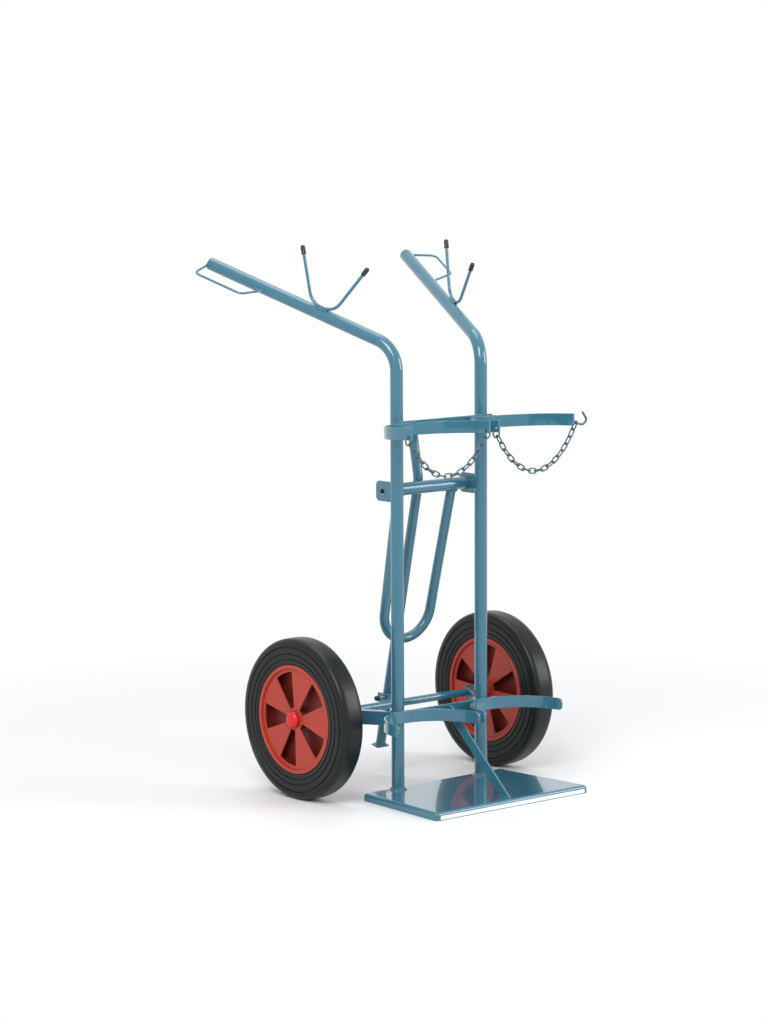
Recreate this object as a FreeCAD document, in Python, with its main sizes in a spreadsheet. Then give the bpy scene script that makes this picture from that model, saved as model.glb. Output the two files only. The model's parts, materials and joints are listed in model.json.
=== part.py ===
"""Oxy-acetylene torch cart: a two-cylinder trolley with a swing-out rear prop stand.

Millimetres, +Z up, X across the cart, -Y towards the toe plate, +Y towards the handles.
The floor is Z = 0 and the frame's origin is the centre of the cart's footprint.
Sizes named *_y are measured from the plane of the two uprights, which lies at datum_y.
"""
import FreeCAD
import Part
import math
import os
import Sketcher

SIZES = (
    # tubes and bars of the welded frame
    ("tube_od", 32.0, "upright, handle and crossbar tube, outside diameter"),
    ("tube_wall", 2.5, "upright and handle tube wall"),
    ("thin_od", 25.0, "prop leg and bow tube, outside diameter"),
    ("thin_wall", 2.0, "prop leg and bow tube wall"),
    ("bar_depth", 30.0, "cradle and crossbar flat bar, height"),
    ("bar_thick", 5.0, "cradle and crossbar flat bar, thickness"),
    ("weld_gap", 0.1, "gap left where a round piece is welded to its neighbour"),
    # uprights and handles
    ("upright_x", 138.0, "upright axis, half spacing"),
    ("handle_corner_z", 1110.3, "height where the upright and handle axes meet"),
    ("handle_length", 567.0, "from that corner to the handle's end"),
    ("handle_rise", 20.2, "handle slope, degrees"),
    ("handle_splay", 20.4, "handle turned outwards, degrees"),
    ("bend_radius", 80.0, "upright to handle bend, tube axis"),
    ("plug_thick", 4.0, "welded disc in the handle end"),
    # toe plate
    ("plate_height", 19.5, "toe plate top above the floor"),
    ("plate_sheet", 4.0, "toe plate sheet"),
    ("plate_rear", 28.5, "toe plate rear edge behind the uprights"),
    ("plate_front", 271.7, "toe plate front edge ahead of the uprights"),
    ("plate_rear_half", 229.0, "toe plate half width at the rear"),
    ("plate_front_half", 251.0, "toe plate half width at the front"),
    ("plate_corner", 10.0, "toe plate corner radius"),
    ("plate_fold", 8.0, "outside radius of the folded lip"),
    ("seat_radius", 90.0, "flat round seat for a gas cylinder on the toe plate"),
    ("seat_depth", 2.0, "depth of that seat's disc inside the sheet"),
    # cradles
    ("cradle_x", 140.0, "cylinder axis, half spacing"),
    ("lower_top", 219.0, "lower cradle top"),
    ("lower_radius", 127.0, "lower cradle inside radius"),
    ("lower_sweep", 90.0, "lower cradle arc each side of its back, degrees"),
    ("lower_arm", 4.0, "lower cradle straight tip"),
    ("lower_corner", 11.0, "rounding of the lower cradle tips"),
    ("upper_top", 929.0, "upper cradle top"),
    ("upper_radius", 122.0, "upper cradle inside radius"),
    ("upper_sweep", 90.0, "upper cradle arc each side of its back, degrees"),
    ("upper_arm", 54.0, "upper cradle straight arm"),
    ("cradle_tilt", 3.4, "upper cradle tips raised, degrees"),
    ("upper_bar_top", 934.0, "upper crossbar top"),
    ("crossbar_half", 158.0, "crossbar half length"),
    ("strut_depth", 25.0, "centre strut bar, width"),
    ("strut_thick", 6.0, "centre strut bar, thickness"),
    ("strut_foot", 260.0, "strut toe ahead of the uprights"),
    ("strut_slope", 42.6, "strut slope, degrees"),
    # axle and side arms
    ("axle_od", 20.0, "axle diameter"),
    ("axle_y", 150.3, "axle behind the uprights"),
    ("arm_depth", 35.0, "side arm box section, height"),
    ("arm_width", 20.0, "side arm box section, width"),
    ("arm_wall", 2.5, "side arm box section, wall"),
    ("arm_drop", 2.5, "side arm centre line below the axle"),
    ("arm_x", 236.0, "side arm centre at the axle, from the middle"),
    ("arm_past", 17.0, "side arm end past the axle, along the arm"),
    # wheels
    ("wheel_radius", 200.0, "tyre radius"),
    ("wheel_outer_x", 349.0, "tyre outer side from the middle"),
    ("tyre_width", 64.4, "tyre width"),
    ("rim_radius", 134.8, "rim seat radius"),
    ("rim_lip", 5.0, "rim flange height above the tyre seat's inside"),
    ("rim_wall", 4.0, "rim barrel wall"),
    ("web_inset", 6.0, "spoke face behind the rim's edge, on both sides"),
    ("web_thick", 4.5, "spoke wall thickness"),
    ("disc_thick", 4.0, "closed disc midway between the spoke walls"),
    ("hub_od", 50.0, "wheel hub outside diameter"),
    ("hub_length", 69.0, "wheel hub length"),
    ("hub_inset", 6.0, "wheel hub face inside the tyre's outer side"),
    ("bearing_od", 32.0, "roller bearing outside diameter"),
    ("rim_inset", 0.5, "rim edge inside the tyre's side"),
    ("tyre_wall", 7.0, "tyre wall"),
    ("window_inner", 28.0, "rim window, inner radius"),
    ("window_outer", 117.0, "rim window, outer radius"),
    ("window_angle", 32.0, "rim window, width in degrees"),
    ("window_phase_left", 39.5, "left rim, first window from the toe plate side, degrees"),
    ("window_phase_right", 15.0, "right rim, first window from the toe plate side, degrees"),
    ("window_count", 5, "rim windows"),
    ("collar_od", 28.0, "axle collar diameter"),
    ("washer_od", 29.0, "axle washer diameter"),
    ("washer_thick", 2.0, "axle washer thickness"),
    ("cap_od", 42.0, "hub cap diameter"),
    ("cap_height", 16.5, "hub cap height"),
    ("axle_end", 7.0, "axle end beyond the washer"),
    ("running", 0.05, "radial clearance of running fits"),
    ("side_play", 0.3, "end clearance of turning parts"),
    # rear prop stand
    ("pivot_y", 52.0, "stand pivot behind the uprights"),
    ("pivot_z", 757.0, "stand pivot height"),
    ("spindle_od", 20.0, "pivot spindle diameter"),
    ("spindle_bore", 15.0, "pivot spindle bore"),
    ("ear_thick", 6.0, "pivot ear plate"),
    ("ear_depth", 50.0, "pivot ear height"),
    ("ear_rear", 76.0, "pivot ear rear edge behind the uprights"),
    ("ear_corner", 12.0, "pivot ear rear corners"),
    ("pivot_wall", 3.0, "pivot crossbar tube wall"),
    ("bush_length", 26.0, "pivot bush length inside the crossbar"),
    ("flange_thick", 2.5, "pivot bush flange"),
    ("lean", 12.3, "stand slope at rest, degrees from upright"),
    ("bow_top_half", 88.0, "bow leg half spacing at the pivot"),
    ("bow_radius", 75.0, "bow bottom bend"),
    ("bow_drop", 400.0, "pivot axis to the bow's lowest tube axis"),
    ("leg_drop", 697.0, "pivot axis to the prop leg's end"),
    ("lever_bend", 23.1, "hand lever bent back from the leg, degrees"),
    ("lever_length", 138.0, "hand lever above the bend"),
    ("lever_radius", 90.0, "hand lever bend, tube axis"),
    ("foot_width", 40.0, "prop foot width"),
    ("foot_depth", 26.0, "prop foot depth"),
    ("foot_thick", 4.0, "prop foot thickness"),
    # latch
    ("latch_rise", 8.0, "latch pin above the axle"),
    ("latch_pin_od", 8.0, "latch pin diameter"),
    ("latch_travel", 8.0, "latch pin stroke"),
    ("latch_ear", 6.0, "latch bracket ear thickness"),
    ("latch_side", 1.2, "gap between the latch bracket and the leg"),
    ("latch_depth", 24.0, "latch bracket height"),
    ("latch_web", 5.0, "latch bracket web thickness"),
    ("knob_od", 13.0, "latch knob diameter"),
    ("knob_length", 12.0, "latch knob length"),
    # rods on the handles
    ("hook_rod", 8.0, "hose hook rod diameter"),
    ("hook_start", 189.5, "front corner of the hose hook along the handle"),
    ("hook_base", 65.0, "hose hook seat between its corners"),
    ("hook_bend", 44.0, "hose hook bend radius, rod axis"),
    ("hook_front_rise", 135.0, "front prong tip above the hook's seat"),
    ("hook_rear_rise", 121.0, "rear prong tip above the hook's seat"),
    ("hook_front_lean", 21.5, "front prong lean from square, degrees"),
    ("hook_rear_lean", 30.5, "rear prong lean from square, degrees"),
    ("hook_aside", 8.0, "hose hook plane outboard of the handle axis"),
    ("tip_od", 12.5, "hook tip cover diameter"),
    ("tip_length", 23.0, "hook tip cover length"),
    ("guard_rod", 6.0, "knuckle guard rod diameter"),
    ("guard_reach", 80.5, "knuckle guard outer run from the handle axis"),
    ("guard_length", 172.0, "knuckle guard span along the handle"),
    ("guard_run_left", 142.0, "left knuckle guard outer run"),
    ("guard_run_right", 122.0, "right knuckle guard outer run"),
    ("guard_dip_left", 12.2, "left knuckle guard turned down about the handle, degrees"),
    ("guard_dip_right", 0.0, "right knuckle guard turned down about the handle, degrees"),
    ("guard_bend", 18.0, "knuckle guard bend radius, rod axis"),
    # chains
    ("chain_wire", 3.6, "chain link wire"),
    ("chain_pitch", 20.6, "chain link pitch"),
    ("chain_inner", 8.0, "chain link inside width"),
    ("chain_slack", 0.5, "chain link inside length beyond the pitch"),
    ("links_left", 15, "links of the left chain"),
    ("links_right", 17, "links of the right chain"),
    ("chain_gap", 0.5, "gap where chain parts hang in one another"),
    ("ring_wire", 4.0, "chain ring wire"),
    ("ring_radius", 10.0, "chain ring, wire axis radius"),
    ("tip_hole", 9.0, "hole for the chain ring near a cradle tip"),
    ("tip_margin", 12.0, "that hole from the bar's end"),
    ("hole_drop", 21.0, "that hole below the bar's top"),
    ("peg_wire", 5.5, "chain hook wire"),
    ("peg_reach", 50.0, "chain hook reach beyond the cradle"),
    ("peg_rise", 24.0, "chain hook tip above its root"),
    ("peg_dip", 6.5, "chain hook bottom below its root"),
    ("peg_bend", 8.0, "chain hook bend radius, wire axis"),
    ("peg_hang", 13.0, "chain on its hook, from the cradle"),
)

doc = FreeCAD.newDocument("TorchCart")
sheet = doc.addObject("Spreadsheet::Sheet", "Sizes")
for row, (alias, value, note) in enumerate(SIZES, start=1):
    sheet.set("A%d" % row, alias)
    sheet.set("B%d" % row, str(value))
    sheet.set("C%d" % row, note)
    sheet.setAlias("B%d" % row, alias)
DATUM_ROW = len(SIZES) + 1
sheet.set("A%d" % DATUM_ROW, "datum_y")
sheet.set("B%d" % DATUM_ROW, "0")
sheet.setAlias("B%d" % DATUM_ROW, "datum_y")
doc.recompute()

Vector = FreeCAD.Vector
Rotation = FreeCAD.Rotation
Placement = FreeCAD.Placement
X_AXIS = Vector(1, 0, 0)
Y_AXIS = Vector(0, 1, 0)
Z_AXIS = Vector(0, 0, 1)
SIDES = (("left", -1), ("right", 1))
parts = []


def size(alias):
    """A size from the sheet, as a number."""
    return float(sheet.get(alias))


def sine(degrees):
    return math.sin(math.radians(degrees))


def cosine(degrees):
    return math.cos(math.radians(degrees))


# the handle's direction, and the footprint's centre
handle_run = cosine(size("handle_rise"))
handle_y = handle_run * cosine(size("handle_splay"))
rim_reach = size("tube_od") / 2 * math.sqrt(1 - handle_y ** 2)
rear_reach = size("handle_length") * handle_y + rim_reach
sheet.set("B%d" % DATUM_ROW, repr((size("plate_front") - rear_reach) / 2))
doc.recompute()


def keep(obj, name):
    """Names a sub-part and puts it on the list that is written out."""
    obj.Label = name
    parts.append(obj)
    return obj


def written(value):
    """A number or a short expression as expression text; $name stands for a size."""
    return in_sizes(value) if isinstance(value, str) else "%.6f" % value


def place(obj, x, y, z, rotation=None):
    """Places an object; y is measured from the plane of the uprights."""
    if rotation is not None:
        obj.Placement = Placement(Vector(), rotation)
    obj.setExpression("Placement.Base.x", written(x))
    obj.setExpression("Placement.Base.y", "Sizes.datum_y + (%s)" % written(y))
    obj.setExpression("Placement.Base.z", written(z))
    return obj


def origin_plane(owner, role):
    return [item for item in owner.Origin.OriginFeatures if item.Role == role][0]


def body(name):
    return keep(doc.addObject("PartDesign::Body", name), name)


def sketch(owner, role, name):
    """An empty sketch on one of the owner's origin planes."""
    made = owner.newObject("Sketcher::SketchObject", name)
    made.AttachmentSupport = [(origin_plane(owner, role), "")]
    made.MapMode = "FlatFace"
    return made


def pin_point(made, geometry, point, coordinates):
    """Holds one point of a sketch at coordinates that are expressions over the sheet."""
    for kind, axis, expression in (("DistanceX", -2, coordinates[0]), ("DistanceY", -1, coordinates[1])):
        if expression == "0":
            made.addConstraint(Sketcher.Constraint("PointOnObject", geometry, point, axis))
            continue
        value = sheet.evalExpression(expression)
        index = made.addConstraint(Sketcher.Constraint(kind, -1, 1, geometry, point, float(value)))
        made.setExpression("Constraints[%d]" % index, expression)


def in_sizes(text):
    """Turns a short expression into one that names the sheet."""
    out = text
    for alias in sorted((entry[0] for entry in SIZES), key=len, reverse=True):
        out = out.replace("$" + alias, "Sizes." + alias)
    return out


def polygon(made, points):
    """A closed outline through points, each held by a pair of expressions."""
    pairs = [(in_sizes(x), in_sizes(y)) for x, y in points]
    flat = [Vector(float(sheet.evalExpression(x)), float(sheet.evalExpression(y)), 0) for x, y in pairs]
    first = made.GeometryCount
    count = len(flat)
    for i in range(count):
        made.addGeometry(Part.LineSegment(flat[i], flat[(i + 1) % count]), False)
    for i in range(count):
        made.addConstraint(Sketcher.Constraint("Coincident", first + i, 2, first + (i + 1) % count, 1))
    for i in range(count):
        pin_point(made, first + i, 1, pairs[i])


def circle(made, x, y, radius):
    """A circle held by expressions."""
    centre = [in_sizes(x), in_sizes(y)]
    value = float(sheet.evalExpression(in_sizes(radius)))
    middle = Vector(float(sheet.evalExpression(centre[0])), float(sheet.evalExpression(centre[1])), 0)
    index = made.addGeometry(Part.Circle(middle, Z_AXIS, value), False)
    pin_point(made, index, 3, centre)
    rule = made.addConstraint(Sketcher.Constraint("Radius", index, value))
    made.setExpression("Constraints[%d]" % rule, in_sizes(radius))


def pad(owner, made, length, centred=True, name="Pad"):
    """Pads a sketch by an expression."""
    feature = owner.newObject("PartDesign::Pad", name)
    feature.Profile = made
    feature.Midplane = centred
    feature.setExpression("Length", in_sizes(length))
    made.Visibility = False
    doc.recompute()
    return feature


def cut_through(owner, made, name="Pocket"):
    """Cuts a sketch both ways through everything."""
    before = owner.Shape.Volume
    feature = owner.newObject("PartDesign::Pocket", name)
    feature.Profile = made
    feature.Type = 1
    feature.Midplane = True
    doc.recompute()
    if not owner.Shape.Volume < before:
        raise RuntimeError("%s cuts nothing" % name)
    return feature


def revolve(owner, made, axis="H_Axis", name="Revolution"):
    """Turns a sketch a full turn about one of its axes."""
    feature = owner.newObject("PartDesign::Revolution", name)
    feature.Profile = made
    feature.ReferenceAxis = (made, [axis])
    feature.Angle = 360.0
    doc.recompute()
    return feature


def drill(owner, name, radius, start, direction, length):
    """Cuts a round hole from a point in the body's own frame."""
    before = owner.Shape.Volume
    cutter = owner.newObject("PartDesign::SubtractiveCylinder", name)
    cutter.setExpression("Radius", in_sizes(radius))
    cutter.Height = length
    cutter.AttachmentSupport = [(origin_plane(owner, "XY_Plane"), "")]
    cutter.MapMode = "FlatFace"
    cutter.AttachmentOffset = Placement(start, Rotation(Z_AXIS, direction))
    doc.recompute()
    if not owner.Shape.Volume < before - 1e-3:
        raise RuntimeError("%s cuts nothing" % name)
    return cutter


def round_edges(owner, base, pick, radius, name="Fillet"):
    """Fillets the edges that pick() accepts."""
    names = ["Edge%d" % (i + 1) for i, edge in enumerate(base.Shape.Edges) if pick(edge)]
    feature = owner.newObject("PartDesign::Fillet", name)
    feature.Base = (base, names)
    feature.setExpression("Radius", in_sizes(radius))
    doc.recompute()
    return feature


def is_along(edge, axis):
    """True for a straight edge that runs along an axis."""
    if edge.Curve.TypeId != "Part::GeomLine":
        return False
    run = edge.Vertexes[1].Point - edge.Vertexes[0].Point
    return abs(run.normalize().dot(axis)) > 0.999


def corner_arc(before, corner, after, radius):
    """The tangent points and the middle point of the arc that rounds a corner."""
    back = (before - corner).normalize()
    ahead = (after - corner).normalize()
    half = back.getAngle(ahead) / 2
    reach = radius / math.tan(half)
    inward = (back + ahead).normalize()
    middle = corner + inward * (radius / math.sin(half) - radius)
    return corner + back * reach, middle, corner + ahead * reach


def bent_path(made, points, radii):
    """Straight runs joined by tangent arcs in a sketch; returns its edges' names."""
    corners = [Vector(x, y, 0) for x, y in points]
    runs = []
    last = corners[0]
    for i in range(1, len(corners) - 1):
        start, middle, end = corner_arc(corners[i - 1], corners[i], corners[i + 1], radii[i - 1])
        if (start - last).Length > 1e-6:
            runs.append((last, Part.LineSegment(last, start)))
        runs.append((start, Part.Arc(start, middle, end)))
        last = end
    runs.append((last, Part.LineSegment(last, corners[-1])))
    for start, curve in runs:
        made.addGeometry(curve, False)
    joins = []
    for i, (start, curve) in enumerate(runs):
        ahead = (made.getPoint(i, 1) - start).Length < 1e-6
        joins.append((1, 2) if ahead else (2, 1))
    for i in range(len(runs) - 1):
        made.addConstraint(Sketcher.Constraint("Coincident", i, joins[i][1], i + 1, joins[i + 1][0]))
    for i in range(len(runs)):
        made.addConstraint(Sketcher.Constraint("Block", i))
    doc.recompute()
    return ["Edge%d" % (i + 1) for i in range(len(runs))]


def pipe(owner, spine, edges, outside, wall=None, name="Pipe"):
    """A round rod, or a tube where a wall is given, along a spine sketch."""
    section = owner.newObject("Sketcher::SketchObject", name + "Section")
    section.AttachmentSupport = [(spine, edges[0])]
    section.MapMode = "NormalToEdge"
    section.MapPathParameter = 0.0
    doc.recompute()
    circle(section, "0", "0", "$%s / 2" % outside)
    if wall:
        circle(section, "0", "0", "$%s / 2 - $%s" % (outside, wall))
    feature = owner.newObject("PartDesign::AdditivePipe", name)
    feature.Profile = section
    feature.Spine = (spine, edges)
    doc.recompute()
    return feature


def handle_frame(side):
    """Local X runs out along the handle's plan direction, local Z is up."""
    return Rotation(Z_AXIS, 90 - side * size("handle_splay"))


def handle_tubes():
    """Upright and handle: one bent tube each side, with a disc welded in its open end."""
    rise = size("handle_rise")
    length = size("handle_length")
    end = (length * cosine(rise), size("handle_corner_z") + length * sine(rise))
    for word, side in SIDES:
        tube = body(word + "_handle_tube")
        spine = sketch(tube, "XZ_Plane", word + "HandleSpine")
        points = [(0, size("plate_height")), (0, size("handle_corner_z")), end]
        edges = bent_path(spine, points, [size("bend_radius")])
        pipe(tube, spine, edges, "tube_od", "tube_wall", word + "HandlePipe")
        place(tube, "%d * $upright_x" % side, 0, 0, handle_frame(side))

        disc = body(word + "_handle_plug")
        face = sketch(disc, "XY_Plane", word + "PlugFace")
        circle(face, "0", "0", "$tube_od / 2 - $tube_wall - 0.02")
        pad(disc, face, "$plug_thick", False, word + "PlugPad")
        turn = handle_frame(side).multiply(Rotation(Y_AXIS, 90 - rise))
        seat = Vector(end[0], 0, end[1]) - Vector(cosine(rise), 0, sine(rise)) * (size("plug_thick") + 0.5)
        shift = handle_frame(side).multVec(seat)
        place(disc, "%d * $upright_x + %.6f" % (side, shift.x), shift.y, shift.z, turn)


def tip_cover(tip, inner):
    """A round-ended cover over a rod's end; tip and inner lie in the XZ plane."""
    away = Vector(tip[0] - inner[0], 0, tip[1] - inner[1]).normalize()
    length = size("tip_length")
    radius = size("tip_od") / 2
    foot = Vector(tip[0], 0, tip[1]) - away * (length - 3)
    barrel = Part.makeCylinder(radius, length - radius, foot, away)
    dome = Part.makeSphere(radius, foot + away * (length - radius))
    bore = Part.makeCylinder(size("hook_rod") / 2 + 0.02, length - 3, foot, away)
    return barrel.fuse(dome).removeSplitter().cut(bore)


def hose_hooks():
    """A U-shaped rod on each handle that carries the coiled hoses, with covered tips."""
    rise = size("handle_rise")
    apart = size("tube_od") / 2 + size("hook_rod") / 2 + size("weld_gap")
    seat = math.sqrt(apart ** 2 - size("hook_aside") ** 2)
    front = size("hook_start")
    rear = front + size("hook_base")
    front_up = size("hook_front_rise")
    rear_up = size("hook_rear_rise")
    front_tip = (front - front_up * math.tan(math.radians(size("hook_front_lean"))), seat + front_up)
    rear_tip = (rear + rear_up * math.tan(math.radians(size("hook_rear_lean"))), seat + rear_up)
    corners = [front_tip, (front, seat), (rear, seat), rear_tip]
    for word, side in SIDES:
        turn = handle_frame(side).multiply(Rotation(Y_AXIS, -rise))
        aside = turn.multVec(Vector(0, -side * size("hook_aside"), 0))
        spot = ("%d * $upright_x + %.6f" % (side, aside.x), aside.y, "$handle_corner_z")
        rod = body(word + "_hose_hook")
        spine = sketch(rod, "XZ_Plane", word + "HookSpine")
        edges = bent_path(spine, corners, [size("hook_bend")] * 2)
        pipe(rod, spine, edges, "hook_rod", None, word + "HookPipe")
        place(rod, *spot, turn)

        covers = [tip_cover(front_tip, corners[1]), tip_cover(rear_tip, corners[2])]
        caps = keep(doc.addObject("Part::Feature", word + "HookTips"), word + "_hook_tips")
        caps.Shape = Part.makeCompound(covers)
        place(caps, *spot, turn)


def knuckle_guards():
    """A thin rod loop outside each hand grip."""
    rise = size("handle_rise")
    seat = size("tube_od") / 2 + size("weld_gap")
    rear = size("handle_length") + 3 - size("guard_rod")
    front = rear - size("guard_length")
    reach = size("guard_reach")
    rear_seat = seat + size("guard_rod") / 2 * 8 / (reach - seat)
    for word, side in SIDES:
        run_end = rear - 8 - size("guard_run_" + word)
        slope = math.degrees(math.atan2(run_end - front, reach - seat))
        front_seat = seat + size("guard_rod") / 2 * sine(slope)
        rod = body(word + "_knuckle_guard")
        spine = sketch(rod, "XY_Plane", word + "GuardSpine")
        points = [(rear, rear_seat), (rear - 8, reach), (run_end, reach), (front, front_seat)]
        points = [(x, -side * y) for x, y in points]
        edges = bent_path(spine, points, [size("guard_bend")] * 2)
        pipe(rod, spine, edges, "guard_rod", None, word + "GuardPipe")
        turn = handle_frame(side).multiply(Rotation(Y_AXIS, -rise))
        turn = turn.multiply(Rotation(X_AXIS, side * size("guard_dip_" + word)))
        place(rod, "%d * $upright_x" % side, 0, "$handle_corner_z", turn)


def toe_plate():
    """Folded steel tray: a flat top with a lip turned down to the floor on all four sides."""
    tray = body("toe_plate")
    outline = sketch(tray, "XY_Plane", "PlateOutline")
    polygon(outline, [
        ("-$plate_rear_half", "$plate_rear"), ("-$plate_front_half", "-$plate_front"),
        ("$plate_front_half", "-$plate_front"), ("$plate_rear_half", "$plate_rear")])
    block = pad(tray, outline, "$plate_height", False, "PlatePad")
    block = round_edges(tray, block, lambda e: is_along(e, Z_AXIS), "$plate_corner", "PlateCorners")

    def on_top(edge):
        return all(abs(v.Point.z - size("plate_height")) < 1e-4 for v in edge.Vertexes)

    block = round_edges(tray, block, on_top, "$plate_fold", "PlateFold")
    shell = tray.newObject("PartDesign::Thickness", "PlateShell")
    floor_face = [
        "Face%d" % (i + 1) for i, face in enumerate(block.Shape.Faces)
        if face.BoundBox.ZMax < 1e-4]
    shell.Base = (block, floor_face)
    shell.setExpression("Value", "Sizes.plate_sheet")
    shell.Reversed = True
    shell.Join = 1
    doc.recompute()
    for word, side in SIDES:
        disc = tray.newObject("PartDesign::AdditiveCylinder", "Seat" + word)
        disc.setExpression("Radius", "Sizes.seat_radius")
        disc.setExpression("Height", "Sizes.seat_depth")
        disc.AttachmentSupport = [(origin_plane(tray, "XY_Plane"), "")]
        disc.MapMode = "FlatFace"
        across = "%d * Sizes.cradle_x" % side
        back = "%.6f - Sizes.lower_radius - Sizes.bar_thick" % cradle_back()
        disc.setExpression("AttachmentOffset.Base.x", across)
        disc.setExpression("AttachmentOffset.Base.y", back)
        disc.setExpression("AttachmentOffset.Base.z", "Sizes.plate_height - Sizes.seat_depth")
        disc.Refine = False
        doc.recompute()
    place(tray, 0, 0, 0)


def crossbars():
    """Two flat bars across the front of the uprights."""
    for word, top in (("lower", "$lower_top"), ("upper", "$upper_bar_top")):
        bar = body(word + "_crossbar")
        outline = sketch(bar, "XZ_Plane", word + "CrossbarOutline")
        polygon(outline, [
            ("-$crossbar_half", "-$bar_depth"), ("$crossbar_half", "-$bar_depth"),
            ("$crossbar_half", "0"), ("-$crossbar_half", "0")])
        pad(bar, outline, "$bar_thick", True, word + "CrossbarPad")
        place(bar, 0, "-($tube_od / 2 + $weld_gap + $bar_thick / 2)", top)


def cradle_line(radius, sweep, arm, offset):
    """The plan line of a cradle bar, offset outwards; its back touches Y = 0."""
    sweep = math.radians(sweep)
    centre_y = -(radius + size("bar_thick"))
    tips = []
    arc = []
    for step in (-1, 0, 1):
        angle = step * sweep
        point = Vector(math.sin(angle), math.cos(angle), 0) * (radius + offset) + Vector(0, centre_y, 0)
        arc.append(point)
    for step, point in ((-1, arc[0]), (1, arc[2])):
        away = Vector(step * math.cos(sweep), -math.sin(sweep), 0)
        tips.append(point + away * arm)
    return tips[0], arc, tips[1]


def cradle_bar(owner, name, radius, sweep, arm):
    """Pads the plan outline of one cradle bar."""
    inner = cradle_line(radius, sweep, arm, 0)
    outer = cradle_line(radius, sweep, arm, size("bar_thick"))
    made = sketch(owner, "XY_Plane", name + "Outline")
    made.addGeometry(Part.LineSegment(inner[0], inner[1][0]), False)
    made.addGeometry(Part.Arc(*inner[1]), False)
    made.addGeometry(Part.LineSegment(inner[1][2], inner[2]), False)
    made.addGeometry(Part.LineSegment(inner[2], outer[2]), False)
    made.addGeometry(Part.LineSegment(outer[2], outer[1][2]), False)
    made.addGeometry(Part.Arc(*reversed(outer[1])), False)
    made.addGeometry(Part.LineSegment(outer[1][0], outer[0]), False)
    made.addGeometry(Part.LineSegment(outer[0], inner[0]), False)
    for i in range(8):
        made.addConstraint(Sketcher.Constraint("Block", i))
    return pad(owner, made, "$bar_depth", False, name + "Pad"), inner, outer


def hole_seat(end):
    """Middle of the chain hole near a cradle tip, in the cradle's own frame; end is -1 or 1."""
    turn = math.radians(size("upper_sweep"))
    middle = size("upper_radius") + size("bar_thick") / 2
    run = size("upper_arm") - size("tip_margin")
    x = end * (middle * math.sin(turn) + run * math.cos(turn))
    y = middle * math.cos(turn) - run * math.sin(turn) - size("upper_radius") - size("bar_thick")
    return Vector(x, y, size("bar_depth") - size("hole_drop"))


def cradle_back():
    """Where the cradle bars' backs stand, from the plane of the uprights."""
    return -(size("tube_od") / 2 + 2 * size("weld_gap") + size("bar_thick"))


def cradles():
    """Four arc-shaped flat bars that the gas cylinders stand in."""
    tilt = Rotation(X_AXIS, -size("cradle_tilt"))
    upper_back = cradle_back() - size("bar_depth") * sine(size("cradle_tilt"))
    for word, side in SIDES:
        low = body("lower_cradle_" + word)
        block, inner, outer = cradle_bar(
            low, "LowerCradle" + word, size("lower_radius"), size("lower_sweep"), size("lower_arm"))
        tip_y = inner[0].y + size("bar_thick")

        def at_tip(edge):
            return abs(edge.Length - size("bar_thick")) < 0.01 and edge.BoundBox.Center.y < tip_y

        round_edges(low, block, at_tip, "$lower_corner", "LowerTips" + word)
        place(low, "%d * $cradle_x" % side, cradle_back(), "$lower_top - $bar_depth")

        top = body("upper_cradle_" + word)
        cradle_bar(top, "UpperCradle" + word, size("upper_radius"), size("upper_sweep"), size("upper_arm"))
        for end in (-1, 1):
            if end == side == 1:
                continue
            square = Rotation(Z_AXIS, -end * size("upper_sweep")).multVec(Y_AXIS)
            start = hole_seat(end) - square * (2 * size("bar_thick"))
            drill(top, "TipHole%s%d" % (word, end + 1), "$tip_hole / 2", start, square, 4 * size("bar_thick"))
        place(top, "%d * $cradle_x" % side, upper_back, "$upper_top - $bar_depth", tilt)


def centre_strut():
    """Flat bar on edge from the lower crossbar down to the toe plate."""
    strut = body("centre_strut")
    outline = sketch(strut, "YZ_Plane", "StrutOutline")
    slope = "tan(%r deg)" % size("strut_slope")
    back = "(-($tube_od / 2 + $weld_gap + $bar_thick))"
    under = "(-$strut_foot + $strut_depth / sin(%r deg))" % size("strut_slope")
    polygon(outline, [
        ("-$strut_foot", "$plate_height"),
        (under, "$plate_height"),
        (back, "$plate_height + (%s - %s) * %s" % (back, under, slope)),
        (back, "$lower_top"),
        ("-$strut_foot + ($lower_top - $plate_height) / %s" % slope, "$lower_top")])
    pad(strut, outline, "$strut_thick", True, "StrutPad")
    place(strut, 0, 0, 0)


def arm_heading(side):
    """Plan length from an upright to its axle seat, and the arm's rotation."""
    across = size("arm_x") - size("upright_x")
    return math.hypot(across, size("axle_y")), Rotation(Vector(1, 0, 0), Vector(side * across, size("axle_y"), 0))


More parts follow.
